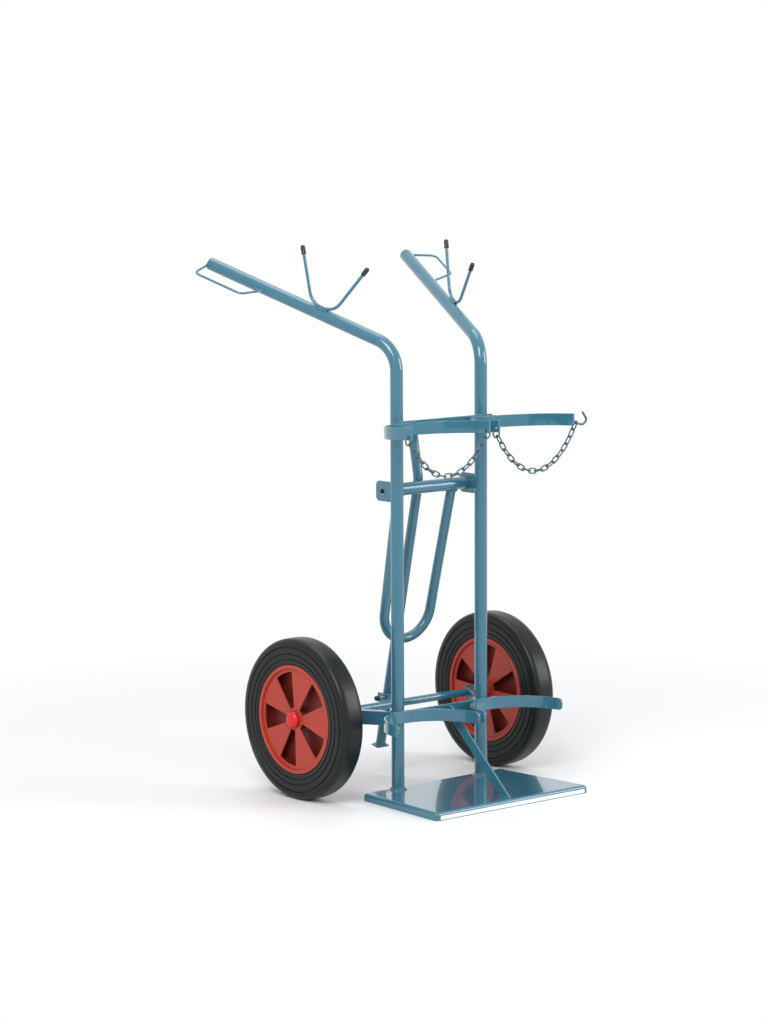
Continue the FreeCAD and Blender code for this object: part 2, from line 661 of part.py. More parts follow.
def side_arms():
    """Closed box-section arms that carry the axle behind the uprights."""
    for word, side in SIDES:
        reach, turn = arm_heading(side)
        arm = body("side_arm_" + word)
        outline = sketch(arm, "YZ_Plane", "ArmSection" + word)
        half = "$arm_width / 2"
        deep = "$arm_depth / 2"
        polygon(outline, [("-" + half, "-" + deep), (half, "-" + deep), (half, deep), ("-" + half, deep)])
        polygon(outline, [
            ("-%s + $arm_wall" % half, "-%s + $arm_wall" % deep), ("%s - $arm_wall" % half, "-%s + $arm_wall" % deep),
            ("%s - $arm_wall" % half, "%s - $arm_wall" % deep), ("-%s + $arm_wall" % half, "%s - $arm_wall" % deep)])
        pad(arm, outline, "%r + $arm_past - $arm_wall" % reach, False, "ArmPad" + word)
        closing = sketch(arm, "YZ_Plane", "ArmEnd" + word)
        polygon(closing, [("-" + half, "-" + deep), (half, "-" + deep), (half, deep), ("-" + half, deep)])
        closing.setExpression("AttachmentOffset.Base.z", in_sizes("%r + $arm_past - $arm_wall" % reach))
        doc.recompute()
        pad(arm, closing, "$arm_wall", False, "ArmCap" + word)
        tall = 2 * size("arm_depth")
        drill(arm, "ArmCope" + word, "$tube_od / 2 + $weld_gap", Vector(0, 0, -tall / 2), Z_AXIS, tall)
        axis = turn.inverted().multVec(X_AXIS)
        middle = Vector(reach, 0, size("arm_drop"))
        wide = 2.5 * size("arm_width")
        drill(arm, "ArmHole" + word, "$axle_od / 2 + $running", middle - axis * wide, axis, 2 * wide)
        place(arm, "%d * $upright_x" % side, 0, "$wheel_radius - $arm_drop", turn)


def rod_body(name, rings, x, y, z, rotation=None):
    """A pin, collar, bush or tube turned from an outline of (x, radius) corners."""
    turned = body(name)
    outline = sketch(turned, "XY_Plane", name + "_outline")
    polygon(outline, rings)
    revolve(turned, outline, "H_Axis", name + "_turned")
    place(turned, x, y, z, rotation)
    return turned


def tube_corners(start, end, inner, outer):
    """Corners of a plain tube's section, for rod_body."""
    return [(start, inner), (end, inner), (end, outer), (start, outer)]


def axle():
    """Straight axle through both side arms, with collars, washers and hub caps."""
    hub_face = "($wheel_outer_x - $hub_inset)"
    end = "(%s + $side_play + $washer_thick + $axle_end)" % hub_face
    rod_body("axle", [("-" + end, "0"), (end, "0"), (end, "$axle_od / 2"), ("-" + end, "$axle_od / 2")],
             0, "$axle_y", "$wheel_radius")
    reach, turn = arm_heading(1)
    corner = turn.multVec(Vector(reach + size("arm_past"), -size("arm_width") / 2, 0))
    collar_start = "(%.6f + $upright_x)" % (corner.x + 0.3)
    for word, side in SIDES:
        bore = "$axle_od / 2 + 0.02"
        turn = Rotation(Z_AXIS, 0 if side > 0 else 180)
        rod_body("axle_collar_" + word, tube_corners(
            collar_start, "%s - $hub_length - $side_play" % hub_face, bore, "$collar_od / 2"),
            0, "$axle_y", "$wheel_radius", turn)
        washer = "%s + $side_play" % hub_face
        rod_body("axle_washer_" + word, tube_corners(
            washer, washer + " + $washer_thick", bore, "$washer_od / 2"),
            0, "$axle_y", "$wheel_radius", turn)
        seat = "%s + $washer_thick" % washer
        cap = rod_body("hub_cap_" + word, [
            (seat, bore), (seat, "$cap_od / 2"), (seat + " + $cap_height", "$cap_od / 2"),
            (seat + " + $cap_height", "0"), (seat + " + $axle_end + 0.2", "0"),
            (seat + " + $axle_end + 0.2", bore)], 0, "$axle_y", "$wheel_radius", turn)
        block = cap.Tip
        rim_x = max(v.Point.x for v in block.Shape.Vertexes)

        def front_rim(edge):
            far = abs(edge.BoundBox.XMin - rim_x) < 1e-3 and edge.BoundBox.YLength > size("cap_od") - 1
            return far and abs(edge.BoundBox.XLength) < 1e-3

        round_edges(cap, block, front_rim, "$cap_height - $axle_end", "Dome" + word)


def tyre_corners():
    """Hollow tyre section, open between its beads; (x, radius) corners from bead to bead."""
    seat = "$rim_radius - $rim_lip + 0.05"
    edge = "$tyre_width / 2"
    lip = "($tyre_width / 2 - $rim_inset - 3.2)"
    outer = [
        (lip, seat), (lip, "$rim_radius + 1"), (edge + " - 2.5", "$rim_radius + 4.2"),
        (edge, "$rim_radius + 16"), (edge, "$wheel_radius - 18"), (edge + " - 1.5", "$wheel_radius - 9"),
        (edge + " - 6", "$wheel_radius - 3"), (edge + " - 16", "$wheel_radius")]
    wall = " - $tyre_wall"
    inner = [
        (edge + " - 17", "$wheel_radius" + wall), (edge + " - 3.2" + wall, "$wheel_radius - 3.2" + wall),
        (edge + " - 1.8" + wall, "$wheel_radius - 6" + wall), (edge + wall, "$wheel_radius - 20"),
        (edge + wall, "$rim_radius + 18"), (lip + wall, "$rim_radius + 6"), (lip + wall, seat)]

    left = [("-(%s)" % x, r) for x, r in reversed(outer)]
    hollow = [("-(%s)" % x, r) for x, r in reversed(inner)]
    return outer + left + hollow + inner


def wheels():
    """Two wheels: hollow tyre on a one-piece windowed rim that turns on a roller bush."""
    for word, side in SIDES:
        turn = Rotation(Z_AXIS, 0 if side > 0 else 180)
        x = "%d * ($wheel_outer_x - $tyre_width / 2)" % side
        rod_body("tyre_" + word, tyre_corners(), x, "$axle_y", "$wheel_radius", turn)
        edge = "($tyre_width / 2 - $rim_inset)"
        seat = "($rim_radius - $rim_lip)"
        barrel = "(%s - $rim_wall)" % seat
        face = "(%s - $web_inset)" % edge
        back = "(%s - $web_thick)" % face
        hub = "($tyre_width / 2 - $hub_inset)"
        rim = body("rim_" + word)
        outline = sketch(rim, "XY_Plane", "RimOutline" + word)
        polygon(outline, [
            (edge, barrel), (edge, "$rim_radius"), (edge + " - 3", "$rim_radius"), (edge + " - 3", seat),
            ("3 - " + edge, seat), ("3 - " + edge, "$rim_radius"), ("-" + edge, "$rim_radius"),
            ("-" + edge, barrel), ("-" + face, barrel), ("-" + face, "$hub_od / 2"),
            (hub + " - $hub_length", "$hub_od / 2"), (hub + " - $hub_length", "$bearing_od / 2"),
            (hub, "$bearing_od / 2"), (hub, "$hub_od / 2"), (face, "$hub_od / 2"), (face, barrel)])
        polygon(outline, [
            ("-" + back, "$hub_od / 2"), (back, "$hub_od / 2"), (back, barrel), ("-" + back, barrel)])
        revolve(rim, outline, "H_Axis", "RimTurned" + word)
        window = sketch(rim, "YZ_Plane", "Window" + word)
        half = "%r deg" % (size("window_angle") / 2)
        polygon(window, [
            ("-$window_inner * sin(%s)" % half, "$window_inner * cos(%s)" % half),
            ("$window_inner * sin(%s)" % half, "$window_inner * cos(%s)" % half),
            ("$window_outer * sin(%s)" % half, "$window_outer * cos(%s)" % half),
            ("0", "$window_outer"),
            ("-$window_outer * sin(%s)" % half, "$window_outer * cos(%s)" % half)])
        hole = cut_through(rim, window, "WindowCut" + word)
        ring = rim.newObject("PartDesign::PolarPattern", "Windows" + word)
        ring.Originals = [hole]
        ring.Axis = (window, ["N_Axis"])
        ring.Angle = 360.0
        ring.setExpression("Occurrences", "Sizes.window_count")
        rim.Tip = ring
        doc.recompute()
        middle = sketch(rim, "XY_Plane", "RimDiscOutline" + word)
        polygon(middle, tube_corners(
            "-$disc_thick / 2", "$disc_thick / 2", "$hub_od / 2 - 1", barrel + " + 1"))
        revolve(rim, middle, "H_Axis", "RimDisc" + word)
        phase = Rotation(X_AXIS, 90 - size("window_phase_" + word))
        place(rim, x, "$axle_y", "$wheel_radius", phase.multiply(turn))
        rod_body("bearing_" + word, tube_corners(
            hub + " - $hub_length", hub, "$axle_od / 2 + $running", "$bearing_od / 2 - 0.02"),
            x, "$axle_y", "$wheel_radius", turn)


def pivot():
    """Two ear plates behind the uprights and the hollow spindle the stand hangs on."""
    for word, side in SIDES:
        ear = body("pivot_ear_" + word)
        outline = sketch(ear, "YZ_Plane", "EarOutline" + word)
        front = "$tube_od / 2 + $weld_gap"
        top = "$ear_depth / 2"
        polygon(outline, [(front, "-" + top), ("$ear_rear", "-" + top), ("$ear_rear", top), (front, top)])
        block = pad(ear, outline, "$ear_thick", True, "EarPad" + word)

        def rear_corner(edge):
            return is_along(edge, X_AXIS) and edge.BoundBox.YMin > size("ear_rear") - 1e-3

        round_edges(ear, block, rear_corner, "$ear_corner", "EarCorners" + word)
        thick = size("ear_thick")
        start = Vector(-thick * 2, size("pivot_y"), 0)
        drill(ear, "EarHole" + word, "$spindle_od / 2 + $running", start, X_AXIS, thick * 4)
        place(ear, "%d * $upright_x" % side, 0, "$pivot_z")
    end = "($upright_x + $ear_thick / 2)"
    rod_body("pivot_spindle", tube_corners("-" + end, end, "$spindle_bore / 2", "$spindle_od / 2"),
             0, "$pivot_y", "$pivot_z")


def stand_place(obj):
    """Puts a piece of the stand on the pivot, leaning back to its foot."""
    return place(obj, 0, "$pivot_y", "$pivot_z", Rotation(X_AXIS, size("lean")))


def leg_offset():
    """The prop leg's axis behind the pivot axis."""
    return size("tube_od") / 2 + size("thin_od") / 2 + size("weld_gap")


def latch_spot():
    """Where the latch pin meets the leg: distance down the leg, and its place behind the uprights."""
    drop = size("wheel_radius") + size("latch_rise") - size("pivot_z")
    along = (drop - leg_offset() * sine(size("lean"))) / cosine(size("lean"))
    behind = leg_offset() * cosine(size("lean")) - along * sine(size("lean"))
    return along, size("pivot_y") + behind


def stand():
    """The swinging stand: crossbar on bushes, U-shaped bow, prop leg with hand lever and foot."""
    inside = "($upright_x - $ear_thick / 2 - $side_play)"
    half = "(%s - $flange_thick)" % inside
    bore = "($tube_od / 2 - $pivot_wall)"
    bar = rod_body("pivot_crossbar", tube_corners("-" + half, half, bore, "$tube_od / 2"), 0, 0, 0)
    stand_place(bar)
    for word, side in SIDES:
        hole = "$spindle_od / 2 + $running"
        bush = rod_body("pivot_bush_" + word, [
            (half + " - $bush_length", hole), (inside, hole), (inside, "$tube_od / 2"), (half, "$tube_od / 2"),
            (half, bore + " - 0.02"), (half + " - $bush_length", bore + " - 0.02")], 0, 0, 0)
        stand_place(bush)
        if side < 0:
            bush.Placement = Placement(
                bush.Placement.Base, Rotation(X_AXIS, size("lean")).multiply(Rotation(Z_AXIS, 180)))
            stand_keep(bush)

    bow = body("rear_bow")
    spine = sketch(bow, "XZ_Plane", "BowSpine")
    low = 0.97 * size("bow_radius")
    top = size("bow_top_half")
    points = [(-top, -4), (-low, -size("bow_drop")), (low, -size("bow_drop")), (top, -4)]
    edges = bent_path(spine, points, [size("bow_radius")] * 2)
    pipe(bow, spine, edges, "thin_od", "thin_wall", "BowPipe")
    drill(bow, "BowCope", "$tube_od / 2 + $weld_gap", X_AXIS * -size("upright_x"), X_AXIS, 2 * size("upright_x"))
    stand_place(bow)

    leg = body("prop_leg")
    spine = sketch(leg, "YZ_Plane", "LegSpine")
    back = leg_offset()
    bend = (back, size("tube_od") * 0.3)
    tip = lever_tip()
    edges = bent_path(spine, [(back, -size("leg_drop")), bend, tip], [size("lever_radius")])
    pipe(leg, spine, edges, "thin_od", "thin_wall", "LegPipe")
    along, behind = latch_spot()
    drill(leg, "LatchHole", "$latch_pin_od / 2 + 0.15", Vector(-2 * size("thin_od"), back, along),
          X_AXIS, 2 * size("thin_od"))
    stand_place(leg)

    foot = body("prop_foot")
    pad_outline = sketch(foot, "XY_Plane", "FootOutline")
    wide = "$foot_width / 2"
    deep = "$foot_depth / 2"
    polygon(pad_outline, [
        ("-" + wide, "%r - %s" % (back, deep)), (wide, "%r - %s" % (back, deep)),
        (wide, "%r + %s" % (back, deep)), ("-" + wide, "%r + %s" % (back, deep))])
    pad_outline.setExpression("AttachmentOffset.Base.z", "-(Sizes.leg_drop + Sizes.foot_thick)")
    doc.recompute()
    block = pad(foot, pad_outline, "$foot_thick", False, "FootPad")
    round_edges(foot, block, lambda e: is_along(e, Z_AXIS), "$foot_thick", "FootCorners")
    stand_place(foot)

    away = Vector(0, sine(size("lever_bend")), cosine(size("lever_bend")))
    seat = Vector(0, tip[0], tip[1]) - away * (size("plug_thick") + 0.5)
    plug = body("lever_plug")
    face = sketch(plug, "XY_Plane", "LeverPlugFace")
    circle(face, "0", "0", "$thin_od / 2 - $thin_wall - 0.02")
    pad(plug, face, "$plug_thick", False, "LeverPlugPad")
    lean = Rotation(X_AXIS, size("lean"))
    shift = lean.multVec(seat)
    place(plug, 0, "$pivot_y + %.6f" % shift.y, "$pivot_z + %.6f" % shift.z,
          lean.multiply(Rotation(Z_AXIS, away)))


def stand_keep(obj):
    """Restores the pivot position expressions after a rotation is set."""
    place(obj, 0, "$pivot_y", "$pivot_z")


def lever_tip():
    """The hand lever's end in the stand's own YZ plane."""
    length = size("lever_length")
    start = size("tube_od") * 0.3
    return (leg_offset() + length * sine(size("lever_bend")), start + length * cosine(size("lever_bend")))


def latch():
    """Bracket on the axle, and the sliding pin with its knob."""
    along, behind = latch_spot()
    height = "$wheel_radius + $latch_rise"
    inner = "($thin_od / 2 + $latch_side)"
    outer = "(%s + $latch_ear)" % inner
    front = "($axle_y + $axle_od / 2 + $weld_gap)"
    rear = "(%.6f + $thin_od / 2 + 3)" % behind
    web = "(%.6f - $thin_od / 2 * 1.2 - 2)" % behind
    bracket = body("latch_bracket")
    outline = sketch(bracket, "XY_Plane", "BracketOutline")
    polygon(outline, [
        ("-" + outer, front), ("-" + inner, front), ("-" + inner, web + " - $latch_web"),
        (inner, web + " - $latch_web"), (inner, front), (outer, front), (outer, rear), (inner, rear),
        (inner, web), ("-" + inner, web), ("-" + inner, rear), ("-" + outer, rear)])
    pad(bracket, outline, "$latch_depth", True, "BracketPad")
    far = 3 * size("thin_od")
    drill(bracket, "PinHole", "$latch_pin_od / 2 + $running", Vector(-far, behind, 0), X_AXIS, far)
    place(bracket, 0, 0, height)
    shank = "$latch_pin_od / 2"
    tip = "(-(%s - 0.4))" % inner
    knob = "(-(%s + $latch_travel + 0.5))" % outer
    rod_body("latch_pin", [
        (knob + " - $knob_length + 3", "0"), (tip, "0"), (tip, shank + " - 1"), (tip + " - 1", shank),
        (knob + " - $knob_length + 3", shank)], 0, behind, height)
    grip = rod_body("latch_knob", [
        (knob + " - $knob_length", "0"), (knob + " - $knob_length + 3", "0"),
        (knob + " - $knob_length + 3", shank + " + 0.02"), (knob, shank + " + 0.02"), (knob, "$knob_od / 2"),
        (knob + " - $knob_length", "$knob_od / 2")], 0, behind, height)
    block = grip.Tip

    def outer_rim(edge):
        return edge.BoundBox.YLength > size("knob_od") - 0.1 and edge.BoundBox.XLength < 1e-3

    round_edges(grip, block, outer_rim, "$knob_od / 6", "KnobRound")


def chain_seat(side, end):
    """Where a chain ring's wire crosses a cradle hole, in the cart's frame but without datum_y."""
    tilt = Rotation(X_AXIS, -size("cradle_tilt"))
    back = cradle_back() - size("bar_depth") * sine(size("cradle_tilt"))
    spot = tilt.multVec(hole_seat(end))
    drop = size("tip_hole") / 2 - size("ring_wire") / 2 - size("chain_gap") - 0.3
    base = Vector(side * size("cradle_x"), back, size("upper_top") - size("bar_depth") - drop)
    return base + spot


def chain_link():
    """One welded link, long along X and wide along Y."""
    wire = size("chain_wire") / 2
    bend = size("chain_inner") / 2 + wire
    half = (size("chain_pitch") + size("chain_slack")) / 2 + wire - bend
    corners = [Vector(-half, bend, 0), Vector(half, bend, 0), Vector(half, -bend, 0), Vector(-half, -bend, 0)]
    edges = [
        Part.LineSegment(corners[0], corners[1]).toShape(),
        Part.Arc(corners[1], Vector(half + bend, 0, 0), corners[2]).toShape(),
        Part.LineSegment(corners[2], corners[3]).toShape(),
        Part.Arc(corners[3], Vector(-half - bend, 0, 0), corners[0]).toShape()]
    section = Part.Wire([Part.Circle(corners[0], X_AXIS, wire).toShape()])
    link = Part.Wire(edges).makePipeShell([section], True, False)
    return link if link.ShapeType == "Solid" else Part.Solid(link)


def hang(span, rise, first, last, count):
    """Link directions of a hanging chain, as angles in its vertical plane."""
    pitch = size("chain_pitch")

    def reach(slack, lowest):
        angles = [math.atan((k - lowest) / slack) for k in range(1, count + 1)]
        lengths = [pitch] * count
        lengths[0] += first
        lengths[-1] += last
        across = sum(length * math.cos(angle) for length, angle in zip(lengths, angles))
        up = sum(length * math.sin(angle) for length, angle in zip(lengths, angles))
        return across - span, up - rise, angles

    slack, lowest = 5.0, (count + 1) / 2
    for _ in range(60):
        f, g, angles = reach(slack, lowest)
        step = 1e-5
        fa, ga, _angles = reach(slack + step, lowest)
        fb, gb, _angles = reach(slack, lowest + step)
        a, b, c, d = (fa - f) / step, (fb - f) / step, (ga - g) / step, (gb - g) / step
        det = a * d - b * c
        slack = max(0.5, slack - (f * d - g * b) / det)
        lowest -= (g * a - f * c) / det
    if abs(f) + abs(g) > 1e-3:
        raise RuntimeError("the chain doesn't reach")
    return angles


def chain(name, left_seat, right_seat, count, on_hook):
    """Rings and links between two seats at the same distance ahead of the uprights."""
    ring = size("ring_radius")
    drop = Vector(0, 0, -ring)
    grip = size("ring_wire") / 2 + size("chain_wire") / 2 + size("chain_gap")
    half = (size("chain_pitch") + size("chain_slack") + size("chain_wire")) / 2
    overlap = size("chain_pitch") / 2 - (half - grip)
    first = ring - overlap
    start = left_seat + drop
    solids = [Part.makeTorus(ring, size("ring_wire") / 2, start, Y_AXIS)]
    if on_hook:
        end = right_seat
        hook_grip = 1.08 * (size("peg_wire") / 2 + size("chain_wire") / 2) + size("chain_gap")
        last = -(size("chain_pitch") / 2 - (half - hook_grip))
    else:
        end = right_seat + drop
        last = first
        solids.append(Part.makeTorus(ring, size("ring_wire") / 2, end, Y_AXIS))
    angles = hang(end.x - start.x, end.z - start.z, first, last, count)
    link = chain_link()
    pitch = size("chain_pitch")
    heading = Vector(math.cos(angles[0]), 0, math.sin(angles[0]))
    joint = start + heading * first
    for number, angle in enumerate(angles):
        heading = Vector(math.cos(angle), 0, math.sin(angle))
        turn = Rotation(Y_AXIS, -math.degrees(angle))
        if number % 2:
            turn = turn.multiply(Rotation(X_AXIS, 90))
        placed = link.copy()
        placed.Placement = Placement(joint + heading * (pitch / 2), turn)
        solids.append(placed)
        joint = joint + heading * pitch
    strand = keep(doc.addObject("Part::Feature", name), name)
    strand.Shape = Part.makeCompound([shifted(item, left_seat) for item in solids])
    place(strand, left_seat.x, left_seat.y, left_seat.z)


def shifted(solid, origin):
    """A copy of a solid moved so that origin comes to zero."""
    moved = solid.copy()
    moved.translate(Vector() - origin)
    return moved


def chains():
    """Two cylinder chains and the wire hook that holds the right-hand chain's outer end."""
    chain("chain_left", chain_seat(-1, -1), chain_seat(-1, 1), int(size("links_left")), False)
    outer = chain_seat(1, 1)
    dip = size("peg_dip")
    run = size("peg_reach") - 1.5 * size("peg_bend")
    yaw = math.radians(90 - size("upper_sweep"))
    slope = math.atan2(1.12 * dip, run)
    face = size("bar_thick") / 2 / math.cos(yaw) + size("peg_wire") / 2 * (math.tan(yaw) + math.sin(slope))
    start = outer + Vector(face + size("weld_gap"), 0, 0)
    far_end = start + Vector(size("peg_hang"), 0, -dip * size("peg_hang") / run)
    chain("chain_right", chain_seat(1, -1), far_end, int(size("links_right")), True)
    hook = body("chain_hook")
    spine = sketch(hook, "XZ_Plane", "ChainHookSpine")
    reach = size("peg_reach")
    rise = size("peg_rise")
    corners = [(0, 0), (run, -dip * 1.12), (reach + 3, rise * 0.12), (reach - rise * 0.54, rise)]
    edges = bent_path(spine, corners, [size("peg_bend")] * 2)
    pipe(hook, spine, edges, "peg_wire", None, "ChainHookPipe")
    place(hook, start.x, start.y, start.z)


def build():
    """Makes every sub-part."""
    toe_plate()
    handle_tubes()
    crossbars()
    cradles()
    centre_strut()
    side_arms()
    axle()
    pivot()
    hose_hooks()
    knuckle_guards()
    stand()
    latch()
    wheels()
    chains()
    doc.recompute()


def check_and_write():
    """Refuses a broken feature, then writes one STEP file for each sub-part."""
    for obj in doc.Objects:
        if "Invalid" in obj.State or "Error" in obj.State:
            raise RuntimeError("%s is broken" % obj.Label)
    os.makedirs("parts", exist_ok=True)
    for part in parts:
        if part.Shape.isNull() or not part.Shape.isValid():
            raise RuntimeError("%s has no valid shape" % part.Label)
        part.Shape.exportStep("parts/%s.step" % part.Label)


build()
check_and_write()
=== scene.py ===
"""Oxy-acetylene torch cart: painted tube frame, spoked wheels, chains and a swinging prop stand."""

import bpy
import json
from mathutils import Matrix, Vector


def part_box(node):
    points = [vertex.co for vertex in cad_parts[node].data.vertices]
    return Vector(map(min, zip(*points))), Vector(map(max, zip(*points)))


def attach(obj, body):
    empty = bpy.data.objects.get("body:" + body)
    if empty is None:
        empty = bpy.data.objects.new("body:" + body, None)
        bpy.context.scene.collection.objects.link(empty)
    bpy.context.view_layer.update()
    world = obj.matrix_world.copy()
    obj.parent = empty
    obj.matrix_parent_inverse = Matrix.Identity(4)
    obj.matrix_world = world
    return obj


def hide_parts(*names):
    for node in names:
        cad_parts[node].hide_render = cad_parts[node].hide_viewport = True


bl_info = {
    "name": "Torch cart",
    "version": (1, 0, 0),
    "blender": (4, 5, 0),
    "location": "View3D > Sidebar > Torch cart",
    "description": "Builds a two-cylinder torch cart and the studio it stands in",
    "category": "Object",
}
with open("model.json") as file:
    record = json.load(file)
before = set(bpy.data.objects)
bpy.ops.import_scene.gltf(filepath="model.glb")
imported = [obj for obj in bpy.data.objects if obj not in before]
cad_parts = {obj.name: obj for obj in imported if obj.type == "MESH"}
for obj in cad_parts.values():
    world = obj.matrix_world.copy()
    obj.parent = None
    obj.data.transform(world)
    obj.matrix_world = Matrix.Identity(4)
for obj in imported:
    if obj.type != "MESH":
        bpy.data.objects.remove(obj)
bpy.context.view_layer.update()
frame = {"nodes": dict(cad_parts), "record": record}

import json
import math

import bmesh
import bpy
from bpy.props import FloatProperty, FloatVectorProperty, IntProperty, PointerProperty
from mathutils import Matrix, Vector

X = Vector((1, 0, 0))
Y = Vector((0, 1, 0))
Z = Vector((0, 0, 1))
SIDES = (("left", -1), ("right", 1))
WELD_TOGETHER = 1e-6


def middle(node):
    """The centre of a solid's box."""
    low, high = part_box(node)
    return (low + high) / 2


def extent(node):
    """The size of a solid's box."""
    low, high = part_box(node)
    return high - low


SPINDLE = middle("pivot_spindle")
AXLE = middle("axle")
UPRIGHT_Y = SPINDLE.y - 0.052
PLATE_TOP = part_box("toe_plate")[1].z


def length(label, about, default):
    """A length property in metres."""
    return FloatProperty(name=label, description=about, default=default, subtype="DISTANCE", unit="LENGTH",
                         precision=4)


def slant(label, about, degrees):
    """An angle property, shown in degrees."""
    return FloatProperty(name=label, description=about, default=math.radians(degrees), subtype="ANGLE",
                         unit="ROTATION")


def tint(label, about, default):
    """A colour property."""
    return FloatVectorProperty(name=label, description=about, default=default, subtype="COLOR", size=3,
                               min=0, max=1)


class TorchCartSizes(bpy.types.PropertyGroup):
    """Sizes that a user would change; the rest comes from the solids' boxes."""
    tube_radius: length("Tube radius", "Upright and handle tube", 0.016)
    thin_radius: length("Thin tube radius", "Prop leg and bow tube", 0.0125)
    bar_thick: length("Bar thickness", "Cradle and crossbar flat bar", 0.005)
    bar_depth: length("Bar depth", "Cradle and crossbar flat bar", 0.030)
    edge_round: length("Edge rounding", "Rolled edge of flat bars", 0.0009)
    bead: length("Weld bead", "Radius of the weld beads", 0.0028)
    upright_aside: length("Upright offset", "Upright axis from the middle of the cart", 0.138)
    arm_aside: length("Side arm offset", "Side arm's end from the middle of the cart", 0.236)
    cradle_aside: length("Cradle offset", "Cradle axis from the middle of the cart", 0.140)
    bend_radius: length("Handle bend", "Bend between upright and handle", 0.080)
    corner_height: length("Corner height", "Where the upright and handle axes meet", 1.1103)
    handle_length: length("Handle length", "From the bend's corner to the end", 0.567)
    handle_rise: slant("Handle slope", "Rise of the handle from level", 20.2)
    handle_splay: slant("Handle splay", "Handle turned outwards in plan", 20.4)
    hook_aside: length("Hook offset", "Hose hook plane outboard of the handle axis", 0.008)
    hook_rod: length("Hook rod", "Radius of the hose hook's rod", 0.004)
    hook_bend: length("Hook bend", "Bends of the hose hook", 0.044)
    guard_rod: length("Guard rod", "Radius of the knuckle guard's rod", 0.003)
    guard_bend: length("Guard bend", "Bends of the knuckle guard", 0.018)
    guard_reach: length("Guard reach", "Knuckle guard outer run from the handle axis", 0.0805)
    guard_run_left: length("Left guard run", "Outer run of the left knuckle guard", 0.142)
    guard_run_right: length("Right guard run", "Outer run of the right knuckle guard", 0.122)
    guard_dip: slant("Left guard dip", "Left knuckle guard turned down about the handle", 12.2)
    upper_inner: length("Upper cradle radius", "Inside radius of the upper cradles", 0.122)
    upper_arm: length("Upper cradle arm", "Straight arm of the upper cradles", 0.054)
    lower_inner: length("Lower cradle radius", "Inside radius of the lower cradles", 0.127)
    lower_arm: length("Lower cradle arm", "Straight arm of the lower cradles", 0.004)
    tip_radius: length("Cradle tip", "Rounded corners of the lower cradle tips", 0.011)
    cradle_tilt: slant("Cradle tilt", "Upper cradle tips raised", 3.4)
    stand_lean: slant("Stand lean", "Prop stand leant from upright at rest", 12.3)
    bow_aside: length("Bow offset", "Bow's ends from the middle of the stand", 0.088)
    bow_drop: length("Bow drop", "Bow's lowest axis below the spindle", 0.400)
    bow_bend: length("Bow bend", "Bend of the bow's lower corners", 0.075)
    leg_drop: length("Leg drop", "Prop leg's end below the spindle", 0.697)
    lever_length: length("Lever length", "Hand lever above its bend", 0.138)
    lever_bend: length("Lever bend", "Bend between the leg and its lever", 0.090)
    lever_angle: slant("Lever angle", "Hand lever bent back", 23.1)
    tyre_groove: length("Sidewall groove", "Depth of the steps in the tyre's sidewall", 0.0024)
    web_thick: length("Web thickness", "Each of the rim's two webs", 0.0045)
    window_inner: length("Window foot", "Inner radius of the rim's windows", 0.028)
    window_outer: length("Window top", "Outer radius of the rim's windows", 0.117)
    window_angle: slant("Window span", "Angle that each rim window takes up", 32)
    round_segments: IntProperty(name="Tube segments", description="Facets round a tube", default=40,
                                min=12, max=96)


class TorchCartColours(bpy.types.PropertyGroup):
    """Colours of the finishes."""
    paint: tint("Frame paint", "Blue-grey gloss enamel", (0.034, 0.158, 0.226))
    rim: tint("Rim", "Red moulded rim", (0.42, 0.040, 0.022))
    cap: tint("Hub cap", "Bright red hub cap", (0.66, 0.009, 0.007))
    rubber: tint("Tyre", "Black rubber", (0.007, 0.009, 0.0085))
    chain: tint("Chain", "Plated chain wire", (0.070, 0.125, 0.155))
    steel: tint("Bright steel", "Plated pins and washers", (0.80, 0.82, 0.84))
    black: tint("Black plastic", "Tip covers and knob", (0.012, 0.012, 0.013))
    bush: tint("Bushes", "Plain bearing plastic", (0.16, 0.16, 0.15))
    floor: tint("Floor", "Pale studio floor", (0.87, 0.87, 0.872))


def sizes():
    """The scene's sizes."""
    return bpy.context.scene.torch_cart_sizes


def colours():
    """The scene's colours."""
    return bpy.context.scene.torch_cart_colours


# ---------------------------------------------------------------- finishes

class Wiring:
    """Adds nodes to one shader tree and links them."""

    def __init__(self, tree):
        self.nodes = tree.nodes
        self.link = tree.links.new

    def feed(self, node, inputs):
        """Gives each named input a value, or links it where it is given another node's output."""
        for key, value in inputs.items():
            if isinstance(value, bpy.types.NodeSocket):
                self.link(value, node.inputs[key])
            else:
                node.inputs[key].default_value = value

    def add(self, kind, inputs, **settings):
        """A new node with its settings and inputs."""
        node = self.nodes.new("ShaderNode" + kind)
        for label, value in settings.items():
            setattr(node, label, value)
        self.feed(node, inputs)
        return node

    def maths(self, operation, *values):
        """The result of a Math node."""
        return self.add("Math", dict(enumerate(values)), operation=operation).outputs[0]

    def scaled(self, colour, factor):
        """A colour times a factor."""
        return self.add("VectorMath", {0: colour, "Scale": factor}, operation="SCALE").outputs[0]

    def seen_ray(self):
        """One where the camera, a reflection or a see-through piece looks, and nought for the light."""
        path = self.add("LightPath", {}).outputs
        most = self.maths("MAXIMUM", path["Is Camera Ray"], path["Is Glossy Ray"])
        return self.maths("MAXIMUM", most, path["Is Transmission Ray"])

    def blend(self, factor, first, second, output):
        """Mixes two shaders into a tree's output node."""
        mixed = self.add("MixShader", {0: factor, 1: first.outputs[0], 2: second.outputs[0]})
        self.link(mixed.outputs[0], self.nodes[output].inputs["Surface"])


